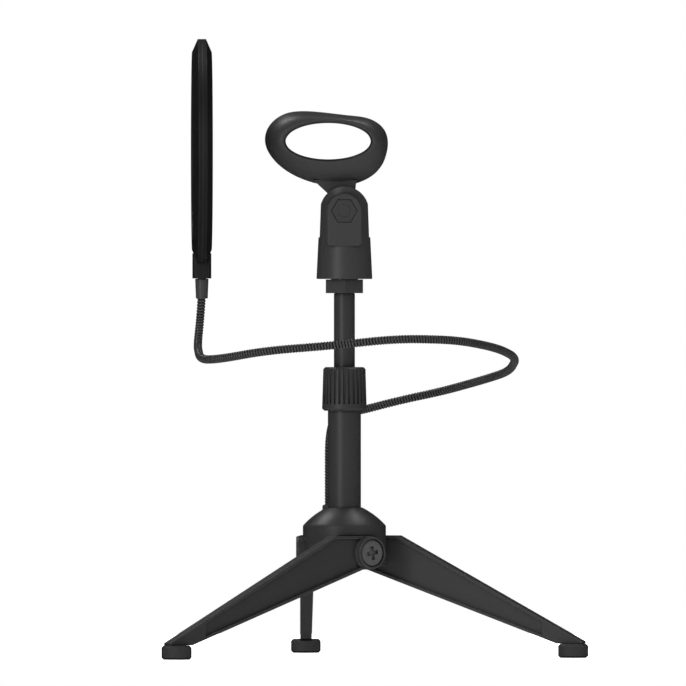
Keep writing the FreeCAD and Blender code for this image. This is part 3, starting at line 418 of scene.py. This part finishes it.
@dataclass(frozen=True)
class Finish:
    """A solid finish: moulded plastic, paint, rubber or metal.

    Attributes:
        name: the material's name.
        slot: the record's material slot that it stands for; not used.
        colour: its base colour.
        sheen: its roughness.
        spread: how much the roughness wanders.
        grain: features of its fine texture per metre.
        depth: how deep that texture is.
        edge_radius: how far its sharp edges are rounded.
        painted_highlight_colour: a lighter colour painted on those edges as a highlight.
        painted_highlight_amount: how much of that painted highlight shows.
        dust: how much dust lies on its upward faces.
        crevice: how much shade is painted into its corners and gaps.
        metal: 1 for bare metal.
        specular: the strength of its reflection.
    """

    name: str
    slot: str
    colour: tuple[float, float, float]
    sheen: float = 0.45
    spread: float = 0.06
    grain: float = 2400.0
    depth: float = 0.2
    edge_radius: float = 0.4 * MM
    painted_highlight_colour: tuple[float, float, float] = (0.12, 0.12, 0.12)
    painted_highlight_amount: float = 0.3
    dust: float = 0.01
    crevice: float = 0.7
    metal: float = 0.0
    specular: float = 0.5

    def material(self, shelf: GroupShelf) -> bpy.types.Material:
        """Builds the material.

        Args:
            shelf: the shared node groups.

        Returns:
            The new material.
        """
        made = bpy.data.materials.new(self.name)
        made.use_nodes = True
        tree = Tree(made.node_tree)
        shader = made.node_tree.nodes["Principled BSDF"]
        edges = shelf.edges.used_in(tree, Radius=self.edge_radius)
        grain = shelf.grain.used_in(
            tree,
            Per_Metre=self.grain,
            Depth=self.depth,
            Sheen=self.sheen,
            Spread=self.spread,
            Normal=edges.outputs["Normal"],
        )
        dust = shelf.dust.used_in(tree, Amount=self.dust)
        crevice = shelf.crevice.used_in(tree, Strength=self.crevice)
        toned = tree.vector_math("SCALE", self.ground(tree))
        tree.feed(toned.inputs["Scale"], grain.outputs["Tone"])
        # Painted highlight: a lighter colour is mixed in along the sharp edges.
        highlight_share = tree.math("MULTIPLY", edges.outputs["Edge"], self.painted_highlight_amount)
        highlighted_colour = tree.mixed(highlight_share, toned.outputs["Vector"], (*self.painted_highlight_colour, 1.0))
        dusty = tree.mixed(dust.outputs["Mask"], highlighted_colour, DUST_COLOUR)
        # Painted shade: the colour is darkened in corners and gaps, where light hardly reaches.
        shaded = tree.vector_math("SCALE", dusty)
        tree.feed(shaded.inputs["Scale"], crevice.outputs["Shade"])
        tree.feed(shader.inputs["Base Color"], shaded.outputs["Vector"])
        tree.feed(shader.inputs["Roughness"], grain.outputs["Roughness"])
        tree.feed(shader.inputs["Normal"], grain.outputs["Normal"])
        tree.feed(shader.inputs["Metallic"], self.metal)
        tree.feed(shader.inputs["Specular IOR Level"], self.specular)
        return made

    def ground(self, tree: Tree) -> object:
        """The colour before grain, the painted edge highlight, dust and the painted corner shade.

        Args:
            tree: the material's tree.

        Returns:
            A colour, or the output that gives it.
        """
        return self.colour


@dataclass(frozen=True)
class RidgedFinish(Finish):
    """A finish with shade painted into its colour between the ridges of its piece.

    Attributes:
        painted_groove_shade: the dark colour painted between the ridges as shade.
    """

    painted_groove_shade: tuple[float, float, float] = (0.003, 0.003, 0.003)

    def ground(self, tree: Tree) -> object:
        """The colour, with shade painted between the ridges, before grain, the painted edge
        highlight, dust and the painted corner shade.

        Args:
            tree: the material's tree.

        Returns:
            The output that gives the colour.
        """
        # Painted shade: the colour goes dark in the grooves between the ridges.
        ridge = tree.node("ShaderNodeAttribute", attribute_name=RIDGE).outputs["Fac"]
        share = tree.ranged(ridge, low=0.45, high=0.95, to_low=0.0, to_high=1.0)
        return tree.mixed(share, (*self.painted_groove_shade, 1.0), (*self.colour, 1.0))


@dataclass(frozen=True)
class NetFinish:
    """An open woven cloth.

    Attributes:
        name: the material's name.
        slot: the record's material slot that it stands for.
        colour: the threads' colour.
        pitch: the distance between threads.
        thread: a thread's width as a share of half the pitch.
    """

    name: str
    slot: str
    colour: tuple[float, float, float]
    pitch: float = 0.42 * MM
    thread: float = 0.62

    def material(self, shelf: GroupShelf) -> bpy.types.Material:
        """Builds the material.

        Args:
            shelf: the shared node groups.

        Returns:
            The new material.
        """
        made = bpy.data.materials.new(self.name)
        made.use_nodes = True
        tree = Tree(made.node_tree)
        shader = made.node_tree.nodes["Principled BSDF"]
        weave = shelf.weave.used_in(tree, Pitch=self.pitch, Thread=self.thread)
        bump = tree.node("ShaderNodeBump")
        bump.inputs["Distance"].default_value = THREAD_HEIGHT
        tree.feed(bump.inputs["Height"], weave.outputs["Height"])
        # Painted shade and highlight: the threads' colour is darker where they dip and lighter on
        # their crowns.
        shade = tree.ranged(weave.outputs["Height"], low=0.0, high=1.0, to_low=0.5, to_high=1.3)
        toned = tree.vector_math("SCALE", self.colour)
        tree.feed(toned.inputs["Scale"], shade)
        tree.feed(shader.inputs["Base Color"], toned.outputs["Vector"])
        tree.feed(shader.inputs["Alpha"], weave.outputs["Cover"])
        tree.feed(shader.inputs["Roughness"], 0.85)
        tree.feed(shader.inputs["Specular IOR Level"], 0.15)
        tree.feed(shader.inputs["Normal"], bump.outputs["Normal"])
        return made


BLACK = (0.026, 0.026, 0.0264)

# Each finish's edge colour is a lighter colour painted on its sharp edges as a highlight.
HUB = Finish(
    "Hub plastic", "hub_plastic", BLACK, sheen=0.42, depth=0.12, edge_radius=0.8 * MM,
    painted_highlight_colour=(0.09, 0.09, 0.09),
)
LEG = Finish(
    "Leg metal", "leg_metal", (0.024, 0.024, 0.0245), sheen=0.5, depth=0.4,
    grain=2100.0, painted_highlight_amount=0.45, edge_radius=0.5 * MM, painted_highlight_colour=(0.16, 0.16, 0.16),
)
TUBE = Finish("Tube paint", "tube_metal", (0.026, 0.026, 0.0265), sheen=0.38, depth=0.08)
CLUTCH = Finish("Clutch plastic", "clutch_plastic", BLACK, sheen=0.44, depth=0.15)
CLIP = Finish("Clip plastic", "clip_plastic", (0.032, 0.032, 0.0325), sheen=0.44, depth=0.1)
SCREW = Finish(
    "Screw metal", "screw_metal", (0.06, 0.06, 0.061), sheen=0.42, depth=0.1, painted_highlight_amount=0.4
)
NUT = Finish("Nut metal", "screw_metal", (0.03, 0.03, 0.0305), sheen=0.42, depth=0.1)
BRASS = Finish("Brass", "thread_brass", (0.6, 0.45, 0.18), sheen=0.3, metal=1.0)
STEEL = Finish("Bare steel", "bare_steel", (0.5, 0.5, 0.5), sheen=0.3, metal=1.0)
BUSH = Finish("Bush plastic", "bush_plastic", (0.5, 0.5, 0.47), sheen=0.5)
RUBBER = Finish(
    "Foot rubber", "foot_rubber", (0.022, 0.022, 0.022), sheen=0.62, depth=0.5, grain=1600.0,
    painted_highlight_amount=0.35, specular=0.35,
)
ARM = RidgedFinish(
    "Arm metal", "arm_metal", (0.044, 0.044, 0.045), sheen=0.34, depth=0.05,
    edge_radius=0.1 * MM, painted_highlight_amount=0.0, crevice=0.3,
)
FERRULE = Finish(
    "Ferrule metal", "ferrule_metal", (0.036, 0.036, 0.0365), sheen=0.36, depth=0.1
)
HOOP = Finish("Hoop plastic", "hoop_plastic", (0.0075, 0.0075, 0.0077), sheen=0.44, depth=0.1)
WASHER = Finish("Washer plastic", "washer_plastic", (0.08, 0.08, 0.08), sheen=0.5)
NET = NetFinish("Woven net", "mesh_fabric", (0.02, 0.02, 0.021))

# The nodes that keep their own shape, by finish.
CARRIED: dict[Finish, tuple[str, ...]] = {
    HUB: ("hub_housing", "hub_bottom_cover"),
    LEG: ("leg_left", "leg_right", "leg_back"),
    TUBE: ("lower_tube", "upper_tube"),
    CLUTCH: ("clutch_collar",),
    CLIP: ("clip_yoke", "clip_sleeve"),
    SCREW: ("leg_pivot_screws",),
    NUT: ("clip_bolt", "clip_nut", "lock_nut"),
    BRASS: ("yoke_thread_insert",),
    STEEL: (
        "hub_centre_screw", "lower_tube_plug", "gooseneck_base_nut", "thread_stud",
        "foot_screw_left", "foot_screw_right", "foot_screw_back",
    ),
    BUSH: ("tube_thread_sleeve", "tube_guide_bush", "clutch_collet", "upper_tube_end_bush"),
    RUBBER: ("foot_left", "foot_right", "foot_back"),
    FERRULE: ("gooseneck_base_ferrule", "gooseneck_tip_ferrule"),
    HOOP: ("filter_socket", "right_hoop", "left_hoop", "hoop_spacer"),
    WASHER: ("leg_pivot_washers", "clip_washers"),
}


@dataclass
class Paintshop:
    """Makes each finish once and gives it to the pieces.

    Attributes:
        shelf: the shared node groups.
        made: the materials made so far.
    """

    shelf: GroupShelf = field(default_factory=GroupShelf)
    made: dict[str, bpy.types.Material] = field(default_factory=dict)

    def coat(self, piece: bpy.types.Object, finish: Finish | NetFinish) -> None:
        """Gives a piece its finish.

        Args:
            piece: the piece.
            finish: its finish.
        """
        if finish.name not in self.made:
            self.made[finish.name] = finish.material(self.shelf)
        piece.data.materials.clear()
        piece.data.materials.append(self.made[finish.name])

    def coat_carried(self) -> int:
        """Gives every carried-over node its finish.

        Returns:
            How many nodes were given one.
        """
        count = 0
        for finish, names in CARRIED.items():
            for name in names:
                self.coat(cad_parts[name], finish)
                count += 1
        return count


# ---------------------------------------------------------------- the flexible arm


def mesh_object(
    name: str, points: list[Vector], faces: list[tuple[int, ...]]
) -> bpy.types.Object:
    """Makes a smooth mesh object and puts it in the scene.

    Args:
        name: the object's name.
        points: its vertices, in metres.
        faces: the vertex numbers of each face.

    Returns:
        The new object.
    """
    mesh = bpy.data.meshes.new(name)
    mesh.from_pydata([tuple(p) for p in points], [], faces)
    mesh.update()
    for polygon in mesh.polygons:
        polygon.use_smooth = True
    made = bpy.data.objects.new(name, mesh)
    bpy.context.scene.collection.objects.link(made)
    return made


@dataclass
class Route:
    """A path of straight runs joined by tangent arcs.

    Attributes:
        corners: the corners of the runs, in millimetres.
        share: the share of the shorter run that an arc takes.
        step: the distance between samples, in millimetres.
        least: the fewest parts that an arc is divided in; else it has one a degree.
    """

    corners: list[tuple[float, float, float]]
    share: float = 0.45
    step: float = 0.2
    least: int = 8

    def samples(self) -> list[Vector]:
        """Walks the path in even steps.

        Returns:
            The points, in millimetres.
        """
        points = [Vector(c) for c in self.corners]
        dense = [points[0]]
        for here, before, after in zip(points[1:], points, points[2:]):
            back, ahead = before - here, after - here
            trim = self.share * min(back.length, ahead.length)
            enter = here + back.normalized() * trim
            leave = here + ahead.normalized() * trim
            dense.extend(self.arc(enter, here, leave))
        dense.append(points[-1])
        return self.evenly(dense)

    def arc(self, enter: Vector, corner: Vector, leave: Vector) -> list[Vector]:
        """Samples the arc that is tangent to both runs at a corner.

        Args:
            enter: where the arc starts.
            corner: where the two runs would meet.
            leave: where the arc ends.

        Returns:
            Points along the arc, both ends included.
        """
        run = (corner - enter).normalized()
        chord = leave - enter
        turn = run.angle(leave - corner)
        side = (chord - run * chord.dot(run)).normalized()
        radius = chord.length / 2 / math.sin(turn / 2)
        centre = enter + side * radius
        count = max(self.least, int(math.degrees(turn)))
        points = []
        for number in range(count + 1):
            angle = turn * number / count
            points.append(centre - side * radius * math.cos(angle) + run * radius * math.sin(angle))
        return points

    def evenly(self, dense: list[Vector]) -> list[Vector]:
        """Spaces points evenly along a path.

        Args:
            dense: the path's points.

        Returns:
            Points one step apart, from the first to about the last.
        """
        result = [dense[0]]
        needed = self.step
        for start, end in zip(dense, dense[1:]):
            length = (end - start).length
            at = needed
            while at <= length:
                result.append(start.lerp(end, at / length))
                at += self.step
            needed = at - length
        return result


@dataclass
class FlexibleArm:
    """The ridged arm, in pieces that each hold one hinge.

    Attributes:
        route: the arm's path.
        core: the radius between ridges, in millimetres.
        crest: the radius on a ridge, in millimetres.
        pitch: the distance between ridges, in millimetres.
        bluntness: a power below 1, which widens the crests and narrows the gaps.
        sides: how many vertices go round the arm.
        bend: half the length that each hinge's bend is spread over, in millimetres; not used.
        bodies: the bodies from the base to the tip; not used.
    """

    route: Route
    core: float = 1.85
    crest: float = 2.5
    pitch: float = 1.75
    bluntness: float = 0.6
    sides: int = 20
    bend: float = 8.0
    bodies: tuple[str, ...] = ("stand", "arm_2", "arm_3", "arm_4", "arm_5")

    def wave(self, along: float, turn: float) -> float:
        """How high a place is on the arm's helical ridge.

        Args:
            along: distance along the arm, in millimetres.
            turn: angle round the arm, in radians.

        Returns:
            0 between two ridges, 1 on a crest.
        """
        phase = along / self.pitch - turn / math.tau
        return abs(math.sin(math.pi * phase)) ** self.bluntness

    def frames(self, points: list[Vector]) -> list[tuple[Vector, Vector]]:
        """Two directions across the path at each point, carried along without twist.

        Args:
            points: the path.

        Returns:
            The two directions at each point.
        """
        result = []
        across = Vector((1.0, 0.0, 0.0))
        for number in range(len(points)):
            before = points[max(number - 1, 0)]
            after = points[min(number + 1, len(points) - 1)]
            along = (after - before).normalized()
            across = (across - along * across.dot(along)).normalized()
            result.append((across.copy(), along.cross(across)))
        return result

    def piece(
        self,
        name: str,
        points: list[Vector],
        frames: list[tuple[Vector, Vector]],
        first: int,
        last: int,
    ) -> bpy.types.Object:
        """Makes the ridged tube along part of the path.

        Args:
            name: the piece's name.
            points: the whole path.
            frames: the directions across it.
            first: the number of the piece's first point.
            last: the number of its last point.

        Returns:
            The new piece.
        """
        vertices: list[Vector] = []
        waves: list[float] = []
        for number in range(first, last + 1):
            across, other = frames[number]
            for side in range(self.sides):
                turn = math.tau * side / self.sides
                waves.append(self.wave(number * self.route.step, turn))
                radius = self.core + (self.crest - self.core) * waves[-1]
                offset = across * math.cos(turn) + other * math.sin(turn)
                vertices.append((points[number] + offset * radius) * MM)
        faces: list[tuple[int, ...]] = []
        for ring in range(last - first):
            for side in range(self.sides):
                a = ring * self.sides + side
                b = ring * self.sides + (side + 1) % self.sides
                faces.append((a, b, b + self.sides, a + self.sides))
        faces.append(tuple(reversed(range(self.sides))))
        faces.append(tuple(range((last - first) * self.sides, (last - first + 1) * self.sides)))
        made = mesh_object(name, vertices, faces)
        made.data.attributes.new(RIDGE, "FLOAT", "POINT").data.foreach_set("value", waves)
        return made

    def build(self, shop: Paintshop, hinges: list[Vector]) -> list[bpy.types.Object]:
        """Makes the arm's pieces, each about one hinge.

        Args:
            shop: gives the pieces their finish.
            hinges: the places of the hinges, in millimetres, from the base on.

        Returns:
            The pieces.
        """
        points = self.route.samples()
        frames = self.frames(points)
        marks = []
        for hinge in hinges:
            marks.append(min(range(len(points)), key=lambda n: (points[n] - hinge).length))
        cuts = [0] + [(a + b) // 2 for a, b in zip(marks, marks[1:])] + [len(points) - 1]
        pieces = []
        for number, mark in enumerate(marks):
            made = self.piece(
                f"arm_skin_{number + 1}", points, frames, cuts[number], cuts[number + 1]
            )
            shop.coat(made, ARM)
            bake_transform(made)
            pieces.append(made)
        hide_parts("gooseneck_1", "gooseneck_2")
        for number in (1, 2, 3):
            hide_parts(f"gooseneck_{number + 2}")
        return pieces


# ---------------------------------------------------------------- the filter's nets


@dataclass
class FilterNets:
    """The two woven nets stretched across the hoop.

    Attributes:
        radius: the radius of each net, in millimetres.
        rings: how many rings of faces each net has.
        spokes: how many faces go round it.
        sag: how far its middle bulges outwards, in millimetres.
        heading: how far the filter is turned about the vertical, in degrees.
    """

    radius: float = 58.6
    rings: int = 24
    spokes: int = 96
    sag: float = 0.5
    heading: float = 1.0

    def disc(self, side: Side) -> bpy.types.Object:
        """Makes one net about the CAD disc that it replaces.

        Args:
            side: which face of the filter it is on.

        Returns:
            The new net.
        """
        name = f"{side.name.lower()}_mesh"
        low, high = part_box(name)
        centre = (low + high) / 2
        turn = Matrix.Rotation(math.radians(self.heading), 3, "Z")
        points = [centre + turn @ Vector((self.sag * side.value * MM, 0.0, 0.0))]
        for ring in range(1, self.rings + 1):
            share = ring / self.rings
            bulge = self.sag * (1.0 - share * share) * side.value
            for spoke in range(self.spokes):
                angle = math.tau * spoke / self.spokes
                reach = self.radius * share
                local = Vector((bulge, reach * math.cos(angle), reach * math.sin(angle)))
                points.append(centre + turn @ (local * MM))
        faces: list[tuple[int, ...]] = []
        for spoke in range(self.spokes):
            faces.append((0, 1 + spoke, 1 + (spoke + 1) % self.spokes))
        for ring in range(self.rings - 1):
            for spoke in range(self.spokes):
                a = 1 + ring * self.spokes + spoke
                b = 1 + ring * self.spokes + (spoke + 1) % self.spokes
                faces.append((a, b, b + self.spokes, a + self.spokes))
        return mesh_object(f"{side.name.lower()}_net", points, faces)

    def build(self, shop: Paintshop) -> list[bpy.types.Object]:
        """Makes both nets.

        Args:
            shop: gives the nets their finish.

        Returns:
            The nets.
        """
        nets = []
        for side in Side:
            net = self.disc(side)
            shop.coat(net, NET)
            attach(net, "filter")
            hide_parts(f"{side.name.lower()}_mesh")
            nets.append(net)
        return nets


# ---------------------------------------------------------------- studio


@dataclass(frozen=True)
class Softbox:
    """One soft light.

    Attributes:
        lay: the part that it plays.
        place: where it is, in metres.
        size: its width and height, in metres.
        power: its power, in watts.
        mirrored: whether glossy surfaces mirror it.
    """

    lay: Lay
    place: tuple[float, float, float]
    size: tuple[float, float]
    power: float
    mirrored: bool = True

    def build(self, aim: Vector) -> bpy.types.Object:
        """Puts the light in the scene, turned to the object.

        Args:
            aim: the point that it faces.

        Returns:
            The light.
        """
        data = bpy.data.lights.new(f"{self.lay.value} light", "AREA")
        data.shape = "RECTANGLE"
        data.size, data.size_y = self.size
        data.energy = self.power
        made = bpy.data.objects.new(f"{self.lay.value} light", data)
        made.location = self.place
        made.rotation_mode = "QUATERNION"
        made.rotation_quaternion = (aim - Vector(self.place)).to_track_quat("-Z", "Y")
        made.visible_glossy = self.mirrored
        bpy.context.scene.collection.objects.link(made)
        return made


@dataclass
class Studio:
    """The floor, the lights and the camera.

    Attributes:
        aim: the point that the camera faces.
        elevation: the camera's angle above the horizon, in degrees.
        span: the width and height that the picture shows, in metres.
        lens: the camera's focal length, in millimetres.
        sensor: the camera's sensor width, in millimetres.
        clip_before: how far before the aim the camera starts to see, in metres.
        clip_beyond: how far beyond the aim it still sees, in metres.
        floor_radius: the floor's radius, in metres.
        floor_glow: how strongly the floor shines, so that it stays pale under the object.
        surround: how strongly the surround lights from behind and from in front.
        lights: the soft lights.
    """

    aim: Vector = field(default_factory=lambda: Vector((-0.00081, 0.0, 0.18198)))
    elevation: float = 0.33
    span: float = 0.39788
    lens: float = 1400.0
    sensor: float = 36.0
    clip_before: float = 3.0
    clip_beyond: float = 60.0
    floor_radius: float = 0.8
    floor_glow: float = 0.985
    surround: tuple[float, float] = (0.1, 1.35)
    lights: tuple[Softbox, ...] = (
        Softbox(Lay.KEY, (-1.02, -1.64, 0.7), (0.6, 1.2), 8.0),
        Softbox(Lay.LEFT_CROWN, (-0.6, 0.6, 1.33), (0.3, 0.3), 3.6),
        Softbox(Lay.RIGHT_CROWN, (0.42, 0.4, 1.45), (0.3, 0.3), 2.6),
        Softbox(Lay.REAR, (0.2, 2.0, 0.6), (1.0, 1.0), 38.0, mirrored=False),
        Softbox(Lay.OVERHEAD, (0.0, 0.1, 2.0), (0.6, 0.6), 14.0, mirrored=False),
    )

    def build_floor(self) -> bpy.types.Object:
        """Makes the plain pale floor.

        Returns:
            The floor.
        """
        ring = bmesh.new()
        bmesh.ops.create_circle(ring, cap_ends=True, segments=96, radius=self.floor_radius)
        mesh = bpy.data.meshes.new("floor")
        ring.to_mesh(mesh)
        ring.free()
        made = bpy.data.objects.new("floor", mesh)
        bpy.context.scene.collection.objects.link(made)
        made.visible_glossy = False
        surface = bpy.data.materials.new("Pale floor")
        surface.use_nodes = True
        tree = Tree(surface.node_tree)
        shader = surface.node_tree.nodes["Principled BSDF"]
        where = tree.node("ShaderNodeTexCoord").outputs["Object"]
        clouds = tree.noise(where, per_metre=6.0, detail=2.0)
        tone = tree.ranged(clouds, low=0.0, high=1.0, to_low=0.93, to_high=0.96)
        tree.feed(shader.inputs["Base Color"], tree.mixed(tone, NO_COLOUR, WHITE))
        tree.feed(shader.inputs["Roughness"], 0.9)
        tree.feed(shader.inputs["Specular IOR Level"], 0.0)
        tree.feed(shader.inputs["Emission Color"], WHITE)
        tree.feed(shader.inputs["Emission Strength"], self.floor_glow)
        mesh.materials.append(surface)
        return made

    def build_backdrop(self) -> None:
        """Makes the white surround, which lights softly but isn't mirrored."""
        world = bpy.data.worlds.new("Surround")
        world.use_nodes = True
        tree = Tree(world.node_tree)
        background = world.node_tree.nodes["Background"]
        where = tree.node("ShaderNodeTexCoord").outputs["Generated"]
        ahead = tree.vector_math("DOT_PRODUCT", where, (0.0, -1.0, 0.0)).outputs["Value"]
        behind, in_front = self.surround
        lit = tree.ranged(ahead, low=0.1, high=1.0, to_low=behind, to_high=in_front)
        seen = tree.node("ShaderNodeLightPath").outputs["Is Camera Ray"]
        tree.feed(background.inputs["Color"], WHITE)
        tree.feed(background.inputs["Strength"], tree.math("MAXIMUM", lit, seen))
        bpy.context.scene.world = world
        world.cycles_visibility.glossy = False

    def build_camera(self) -> bpy.types.Object:
        """Makes the camera.

        Returns:
            The camera.
        """
        data = bpy.data.cameras.new("camera")
        data.sensor_width = self.sensor
        data.lens = self.lens
        distance = self.span * self.lens / self.sensor
        data.clip_start = distance - self.clip_before
        data.clip_end = distance + self.clip_beyond
        rise = math.radians(self.elevation)
        back = Vector((0.0, -math.cos(rise), math.sin(rise)))
        made = bpy.data.objects.new("camera", data)
        made.location = self.aim + back * distance
        made.rotation_mode = "QUATERNION"
        made.rotation_quaternion = (-back).to_track_quat("-Z", "Y")
        bpy.context.scene.collection.objects.link(made)
        bpy.context.scene.camera = made
        return made

    def build(self) -> None:
        """Makes the whole studio and sets how the picture's tones are mapped."""
        self.build_floor()
        self.build_backdrop()
        self.build_camera()
        for light in self.lights:
            light.build(self.aim)
        bpy.context.scene.view_settings.view_transform = "Standard"


# ---------------------------------------------------------------- assembly

# The corners of the arm's route from its base collar to its tip collar, in millimetres.
ARM_CORNERS = [
    (-9.0, 14.5, 88.0),
    (-9.0, 14.0, 127.0),
    (-5.5, 30.0, 140.5),
    (-5.0, 64.0, 142.0),
    (5.5, 89.5, 141.0),
    (32.5, 98.0, 148.0),
    (58.0, 92.0, 153.5),
    (84.0, 66.0, 161.0),
    (96.0, 33.5, 165.5),
    (100.0, -7.0, 173.5),
    (88.0, -42.0, 179.5),
    (65.5, -65.0, 184.0),
    (31.5, -83.5, 185.0),
    (-7.0, -87.0, 181.0),
    (-45.0, -79.5, 178.0),
    (-72.5, -59.5, 173.0),
    (-83.5, -33.0, 172.5),
    (-85.2, -3.5, 180.5),
    (-83.7, 2.9, 195.0),
    (-82.8, 3.5, 208.5),
]

# The runs of that route that have a hinge in their middle.
ARM_HINGE_RUNS = (0, 8, 12, 18)


def hinge_places() -> list[Vector]:
    """The middles of the runs that the arm bends in.

    Returns:
        The places, in millimetres.
    """
    places = []
    for run in ARM_HINGE_RUNS:
        places.append((Vector(ARM_CORNERS[run]) + Vector(ARM_CORNERS[run + 1])) / 2)
    return places


def main() -> None:
    """Builds the looks round the imported parts and the studio."""
    logging.basicConfig(level=logging.INFO, format="%(name)s: %(message)s")
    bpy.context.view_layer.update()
    shop = Paintshop()
    LOG.info("finishes on %d carried nodes", shop.coat_carried())
    arm = FlexibleArm(Route(ARM_CORNERS))
    LOG.info("flexible arm: %d pieces", len(arm.build(shop, hinge_places())))
    LOG.info("nets: %d pieces", len(FilterNets().build(shop)))
    Studio().build()


if __name__ == "__main__":
    main()
